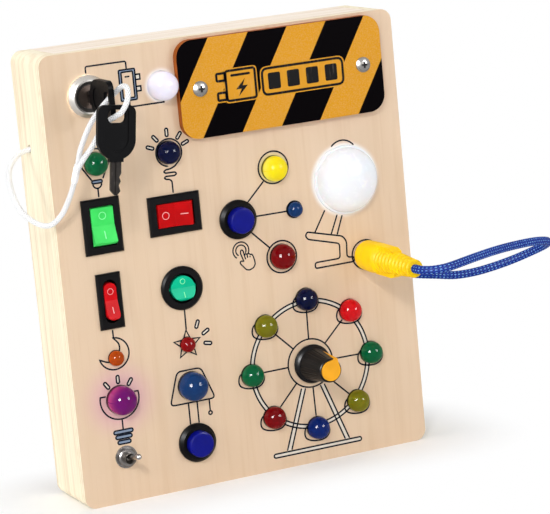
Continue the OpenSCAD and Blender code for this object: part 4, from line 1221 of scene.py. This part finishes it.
class BOARD_OT_cords(Operator):
    """Braids the white key cord with its sleeve and the blue plug cord"""

    bl_idname = "board.cords"
    bl_label = "Cords"

    def execute(self, context):
        p = context.scene.board_cords
        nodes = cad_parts
        sleeve = whipping()
        thread = plastic("whipping_thread", p.white, 0.6)
        wear(sleeve, "white_cord", thread, stands_for="key_cord_knot")
        string = braided(
            "key_cord_braid", STRING_ROUTE, p.white_d, 0.4, 36, 9, 1.5, (-99, 6, 186),
            far_end="knot", stiffness="limp", lay="hanging",
            with_pieces=[sleeve, nodes["spare_key_bow"], nodes["spare_key_blade"]],
        )
        # Painted shade in the white braid's gaps
        white = braid("white_braid", p.white, p.white, 0.0, 7, 2.2, 0.7)
        wear(string, "white_cord", white, stands_for="key_cord")
        cord = braided(
            "plug_cord_braid", CORD_ROUTE, p.blue_d, 0.5, 44, 9, 2.0, (99, -1, 90),
            far_end="plug", stiffness="limp", lay="loose",
            with_pieces=[nodes["plug_grip"], nodes["plug_pin"]],
        )
        # Painted shade in the blue braid's gaps, and painted sheen in light flecks
        blue = braid("blue_braid", p.blue, p.fleck, 0.75, 9, 2.1, 0.85)
        wear(cord, "blue_cord", blue, body=None, stands_for="plug_cord")
        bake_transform(cord)
        return {"FINISHED"}


class BOARD_OT_wood(Operator):
    """Finishes the wooden box: veneered panel, grained rails and back board"""

    bl_idname = "board.wood"
    bl_label = "Wooden box"

    def execute(self, context):
        p = context.scene.board_wood
        paint(veneer(p), "front_panel")
        paint(rail_wood("side_rail_wood", p, p.edge, UPRIGHT), "left_rail", "right_rail")
        paint(rail_wood("cross_rail_wood", p, p.top, (0, 0, 0)), "top_rail", "bottom_rail")
        paint(back_wood(p), "back_panel")
        return {"FINISHED"}


class BOARD_OT_prints(Operator):
    """Prints the line drawings on the panel"""

    bl_idname = "board.prints"
    bl_label = "Printed drawings"

    def execute(self, context):
        p = context.scene.board_wood
        inks = [
            printed("printed_ink", p.ink), printed("printed_pale_ink", p.ink_pale),
            printed("printed_middle_ink", p.ink_mid),
        ]
        for draw in DRAWINGS:
            name = draw.__name__.replace("draw", "print")
            wear(drawing(name, draw(p.ink_width / MM)), "plywood", *inks)
        return {"FINISHED"}


class BOARD_OT_plate(Operator):
    """Paints the striped cover plate and its drawing"""

    bl_idname = "board.plate"
    bl_label = "Cover plate"

    def execute(self, context):
        p = context.scene.board_plate
        paint(plate_paint(p), "cover_plate")
        inks = printed("plate_black_ink", p.black), printed("plate_yellow_ink", p.yellow)
        wear(drawing("print_charge", draw_charge(1), base=PLATE_FACE), "plate_board", *inks)
        return {"FINISHED"}


class BOARD_OT_switches(Operator):
    """Finishes the rockers, buttons, toggle and selector, and puts the marks on the rockers"""

    bl_idname = "board.switches"
    bl_label = "Switches"

    def execute(self, context):
        p = context.scene.board_switches
        bezel = plastic("bezel_plastic", p.bezel, 0.28, shine=0.07)
        red = plastic("mark_paint", p.marks, 0.4)
        green = plastic("green_mark_paint", p.green_marks, 0.4)
        for name, colour, place, lying, o_at, i_at, scale, marks, glow in (
            ("green_rocker", "green", (24.5, 145.5), False, 5, -5, 0.9, green, p.glow),
            ("red_rocker", "red", (64.5, 145.5), True, 5, -5, 0.9, red, 0),
            ("narrow_rocker", "crimson", (24.5, 106.5), False, 4.6, -5.2, 0.75, red, 0),
            ("round_rocker", "emerald", (64.5, 106.5), False, 3.2, -3.9, 0.65, green, 0),
        ):
            paint(bezel, name + "_housing")
            paddle = plastic(name + "_paddle_plastic", getattr(p, colour), 0.3, glow, 0.01, 0.04)
            paint(paddle, name + "_paddle")
            obj = rocker_marks(name + "_marks", place, lying, o_at, i_at, scale)
            wear(obj, colour + "_plastic", marks, body=name)
        paint(bezel, "upper_button_housing", "lower_button_housing")
        blue = plastic("button_plastic", p.blue, 0.25, depth=0.01)
        paint(blue, "upper_button_cap", "lower_button_cap")
        paint(metal("lever_chrome", (0.3, 0.28, 0.27), 0.08), "toggle_lever")
        steel = metal("nut_steel", (0.17, 0.16, 0.155), 0.14)
        paint(steel, "toggle_nut", "panel_nuts", "rotary_body", "jack_socket")
        bush = plated("toggle_case", (0.12, 0.11, 0.1), bush_mask, (0.03, 0.1, 0.3))
        paint(bush, "toggle_body")
        paint(metal("shaft_aluminium", (0.6, 0.6, 0.6), 0.22), "rotary_shaft")
        paint(plastic("knob_plastic", (0.005, 0.005, 0.006), 0.3), "knob")
        paint(plastic("pointer_plastic", p.pointer, 0.3), "knob_pointer")
        return {"FINISHED"}


# Lenses with their own painted side glow: how much, its colour, its direction, and foot shade
PAINTED_GLOW = {
    "purple_lamp": {"side": 0.6, "painted_glow_colour": linear((200, 70, 130)), "toward": 165},
    "yellow_lamp": {"side": 0.5, "painted_glow_colour": linear((255, 248, 120)), "toward": 200},
    "power_lamp": {"side": 0.0, "foot": 0.1},
}


class BOARD_OT_lamps(Operator):
    """Turns the lenses and the large dome"""

    bl_idname = "board.lamps"
    bl_label = "Lamps"

    def execute(self, context):
        p = context.scene.board_lamps
        ring = WHEEL_LAMPS
        large, network, usual, small = 7.5, 6.7, 6, 4
        made = set()
        for node, places, r, colour, lit, slot in (
            ("power_lamp", [POWER_LAMP], large, p.white, 0.08, "white"),
            ("green_bulb_lamp", [(24.5, 177.5)], usual, p.green, 0, "green"),
            ("navy_bulb_lamp", [(64.5, 177.5)], usual, p.navy, 0, "navy"),
            ("yellow_lamp", [YELLOW_LAMP], network, p.yellow, 0.06, "yellow"),
            ("small_blue_lamp", [(132.3, 137.2)], small, p.table, 0, "blue"),
            ("dark_red_lamp", [(122.5, 113.6)], network, p.red, 0, "dark_red"),
            ("moon_lamp", [(24.5, 76.5)], small, p.orange, 0, "orange"),
            ("star_lamp", [(64.5, 76.5)], small, p.star, 0, "dark_red"),
            ("purple_lamp", [PURPLE_LAMP], large, p.purple, 0.03, "purple"),
            ("table_lamp", [(64.5, 54.5)], large, p.table, 0, "blue"),
            ("wheel_lamps_blue", ring[:1], usual, p.navy, 0, "navy"),
            ("wheel_lamps_blue", ring[4:5], usual, p.royal, 0, "navy"),
            ("wheel_lamps_red", ring[1:2], usual, p.bright_red, 0.04, "red"),
            ("wheel_lamps_red", ring[5:6], usual, p.red, 0, "red"),
            ("wheel_lamps_green", ring[2::4], usual, p.green, 0, "green"),
            ("wheel_lamps_olive", ring[3::4], usual, p.olive, 0, "olive"),
        ):
            name = node.replace("lamp", "lens")
            if name in made:
                name += "_lower"
            made.add(name)
            obj = lens_object(name, places, r, lens_profile(r, 0.5 if r == large else 0.3))
            look = lens(name + "_clear", colour, lit * p.lit, **PAINTED_GLOW.get(node, {}))
            wear(obj, slot + "_lens", look, stands_for=node)
        dome = lens_object("dome_lens", [DOME], 9, dome_profile())
        opal = lens("dome_opal", p.opal, 0.06 * p.lit, side=0.0, foot=0.0)
        wear(dome, "dome_lens", opal, stands_for="dome_lamp")
        return {"FINISHED"}


class BOARD_OT_fittings(Operator):
    """Finishes the lock, keys, plug, screws, cells and wiring"""

    bl_idname = "board.fittings"
    bl_label = "Lock, keys and fittings"

    def execute(self, context):
        p = context.scene.board_cords
        # painted shade: dark in the lock's recess
        lock = plated("lock_plating", p.nickel, flange_mask, (0.03, 0.027, 0.025))
        # painted shade: near black in the screws' cross recesses
        screws = plated("screw_steel", (0.24, 0.23, 0.22), cross_mask, (0.006, 0.006, 0.006))
        for mat, *nodes in (
            (lock, "lock_body"),
            (metal("cylinder_metal", (0.06, 0.045, 0.038), 0.26), "lock_cylinder"),
            (metal("key_steel", (0.018, 0.016, 0.015), 0.28), "key_blade", "spare_key_blade"),
            (plastic("key_plastic", p.key, 0.36, shine=0.05), "key_bow", "spare_key_bow"),
            (plastic("yellow_vinyl", p.grip, 0.4), "plug_grip"),
            (metal("plated_nickel", p.nickel, 0.14), "plug_pin"),
            (screws, "screws"),
            (plastic("holder_plastic", (0.02, 0.02, 0.022), 0.5), "battery_holder"),
            (metal("contact_steel", (0.5, 0.48, 0.44), 0.2), "battery_contacts"),
            (plastic("cell_wrap", (0.05, 0.09, 0.12), 0.3), "batteries"),
            (plastic("wire_vinyl", (0.45, 0.03, 0.03), 0.4), "wiring"),
        ):
            paint(mat, *nodes)
        return {"FINISHED"}


def seen(graph):
    """1 for camera, glossy and transmission rays, 0 for the rest."""
    rays = graph.put("LightPath").outputs
    camera, glossy, through = (
        Wire(graph, rays[f"Is {kind} Ray"]) for kind in ("Camera", "Glossy", "Transmission")
    )
    return graph.math("MINIMUM", camera + glossy + through, 1.0)


def floor_paper(colour):
    """Paper that takes shadow round the board, and further off shows plain white to the rays
    that seen() counts: the distance from the board is the length of max(|v| - half, 0)."""
    f = Finish("floor_paper")
    f.tree.nodes.remove(f.shader)
    away = f.take("VectorMath", {0: f.v}, operation="ABSOLUTE")
    away = f.take("VectorMath", {0: away, 1: (BOARD_HALF, DEPTH_HALF, 0)}, operation="SUBTRACT")
    away = f.take("VectorMath", {0: away, 1: (0, 0, 0)}, operation="MAXIMUM")
    far = f.take("VectorMath", {0: away}, "Value", operation="LENGTH")
    paper = f.take("BsdfDiffuse", {"Color": colour})
    white = f.take("Emission", {"Color": WHITE, "Strength": 1.0})
    part = seen(f) * f.between(far, 2 * MM, 60 * MM)
    f.feed(f.out, "Surface", f.take("MixShader", {0: part, 1: paper, 2: white}))
    return f.material


class BOARD_OT_stage(Operator):
    """Lays the floor, hangs the soft lights, and sets two softboxes that only reflections see"""

    bl_idname = "board.stage"
    bl_label = "Floor and lights"

    def execute(self, context):
        p = context.scene.board_stage
        scene = context.scene
        # The floor's grid is finer near the board: x and y are 4 t |t| metres
        t = np.linspace(-1, 1, 41)
        x, y = np.meshgrid(4 * t * np.abs(t), 4 * t * np.abs(t), indexing="ij")
        ground = np.stack([x, y, np.zeros_like(x)], -1).reshape(-1, 3)
        floor = mesh_object("floor", ground, grid_faces(41, 41), 180, mend=False)
        floor.data.materials.append(floor_paper(p.floor))

        scene.world = bpy.data.worlds.new("studio")
        scene.world.use_nodes = True
        sky = Graph(scene.world.node_tree)
        sky.tree.nodes.clear()
        soft, plain = (
            sky.take("Background", {"Color": WHITE, "Strength": s}) for s in (p.sky, 1.0)
        )
        both = sky.take("MixShader", {0: seen(sky), 1: soft, 2: plain})
        sky.put("OutputWorld", {"Surface": both})

        for name, power, across, place, mirrored in (
            ("key_light", p.key_power, 0.25, (-0.86, -1.42, 1.05), False),
            ("side_light", p.side_power, 0.8, (-1.75, -0.2, 0.8), False),
            ("fill_light", p.fill_power, 0.3, (0.95, -1.3, 0.6), False),
            ("top_light", p.top_power, 1.0, (0.1, -0.1, 1.8), False),
            ("key_softbox", p.glint_power, 0.74, (-1.32, -1.21, 0.77), True),
            ("fill_softbox", p.glint_power * 0.35, 0.7, (1.0, -1.49, 0.74), True),
        ):
            data = bpy.data.lights.new(name, "AREA")
            data.shape, data.size, data.energy = "SQUARE", across, power
            lamp = bpy.data.objects.new(name, data)
            lamp.location = place
            aim = Vector((0, 0, 0.12)) - lamp.location
            lamp.rotation_euler = aim.to_track_quat("-Z", "Y").to_euler()
            lamp.visible_glossy = mirrored
            lamp.visible_diffuse = lamp.visible_transmission = not mirrored
            scene.collection.objects.link(lamp)

        scene.view_settings.view_transform = "Standard"
        return {"FINISHED"}


class BOARD_PT_panel(Panel):
    """Lists the board's pieces and their settings"""

    bl_label = "Busy Board"
    bl_idname = "BOARD_PT_panel"
    bl_space_type = "VIEW_3D"
    bl_region_type = "UI"
    bl_category = "Busy Board"

    def draw(self, context):
        for kind in OPERATORS:
            box = self.layout.box()
            box.operator(kind.bl_idname)
            settings = kind.bl_idname.replace(".", "_")
            if settings in GROUPS:
                for key in GROUPS[settings].__annotations__:
                    box.prop(getattr(context.scene, settings), key)


GROUPS = {
    kind.__name__.replace("BOARD_PG", "board"): kind
    for kind in (BOARD_PG_wood, BOARD_PG_plate, BOARD_PG_switches, BOARD_PG_lamps,
                 BOARD_PG_cords, BOARD_PG_stage)
}
OPERATORS = (
    BOARD_OT_camera, BOARD_OT_cords, BOARD_OT_wood, BOARD_OT_prints, BOARD_OT_plate,
    BOARD_OT_switches, BOARD_OT_lamps, BOARD_OT_fittings, BOARD_OT_stage,
)


def register():
    for name, kind in GROUPS.items():
        bpy.utils.register_class(kind)
        setattr(bpy.types.Scene, name, PointerProperty(type=kind))
    for kind in OPERATORS + (BOARD_PT_panel,):
        bpy.utils.register_class(kind)


def unregister():
    for kind in (BOARD_PT_panel,) + OPERATORS[::-1]:
        bpy.utils.unregister_class(kind)
    for name, kind in GROUPS.items():
        delattr(bpy.types.Scene, name)
        bpy.utils.unregister_class(kind)


def main():
    register()
    for kind in OPERATORS:
        getattr(bpy.ops.board, kind.bl_idname.split(".")[1])()


if __name__ == "__main__":
    main()
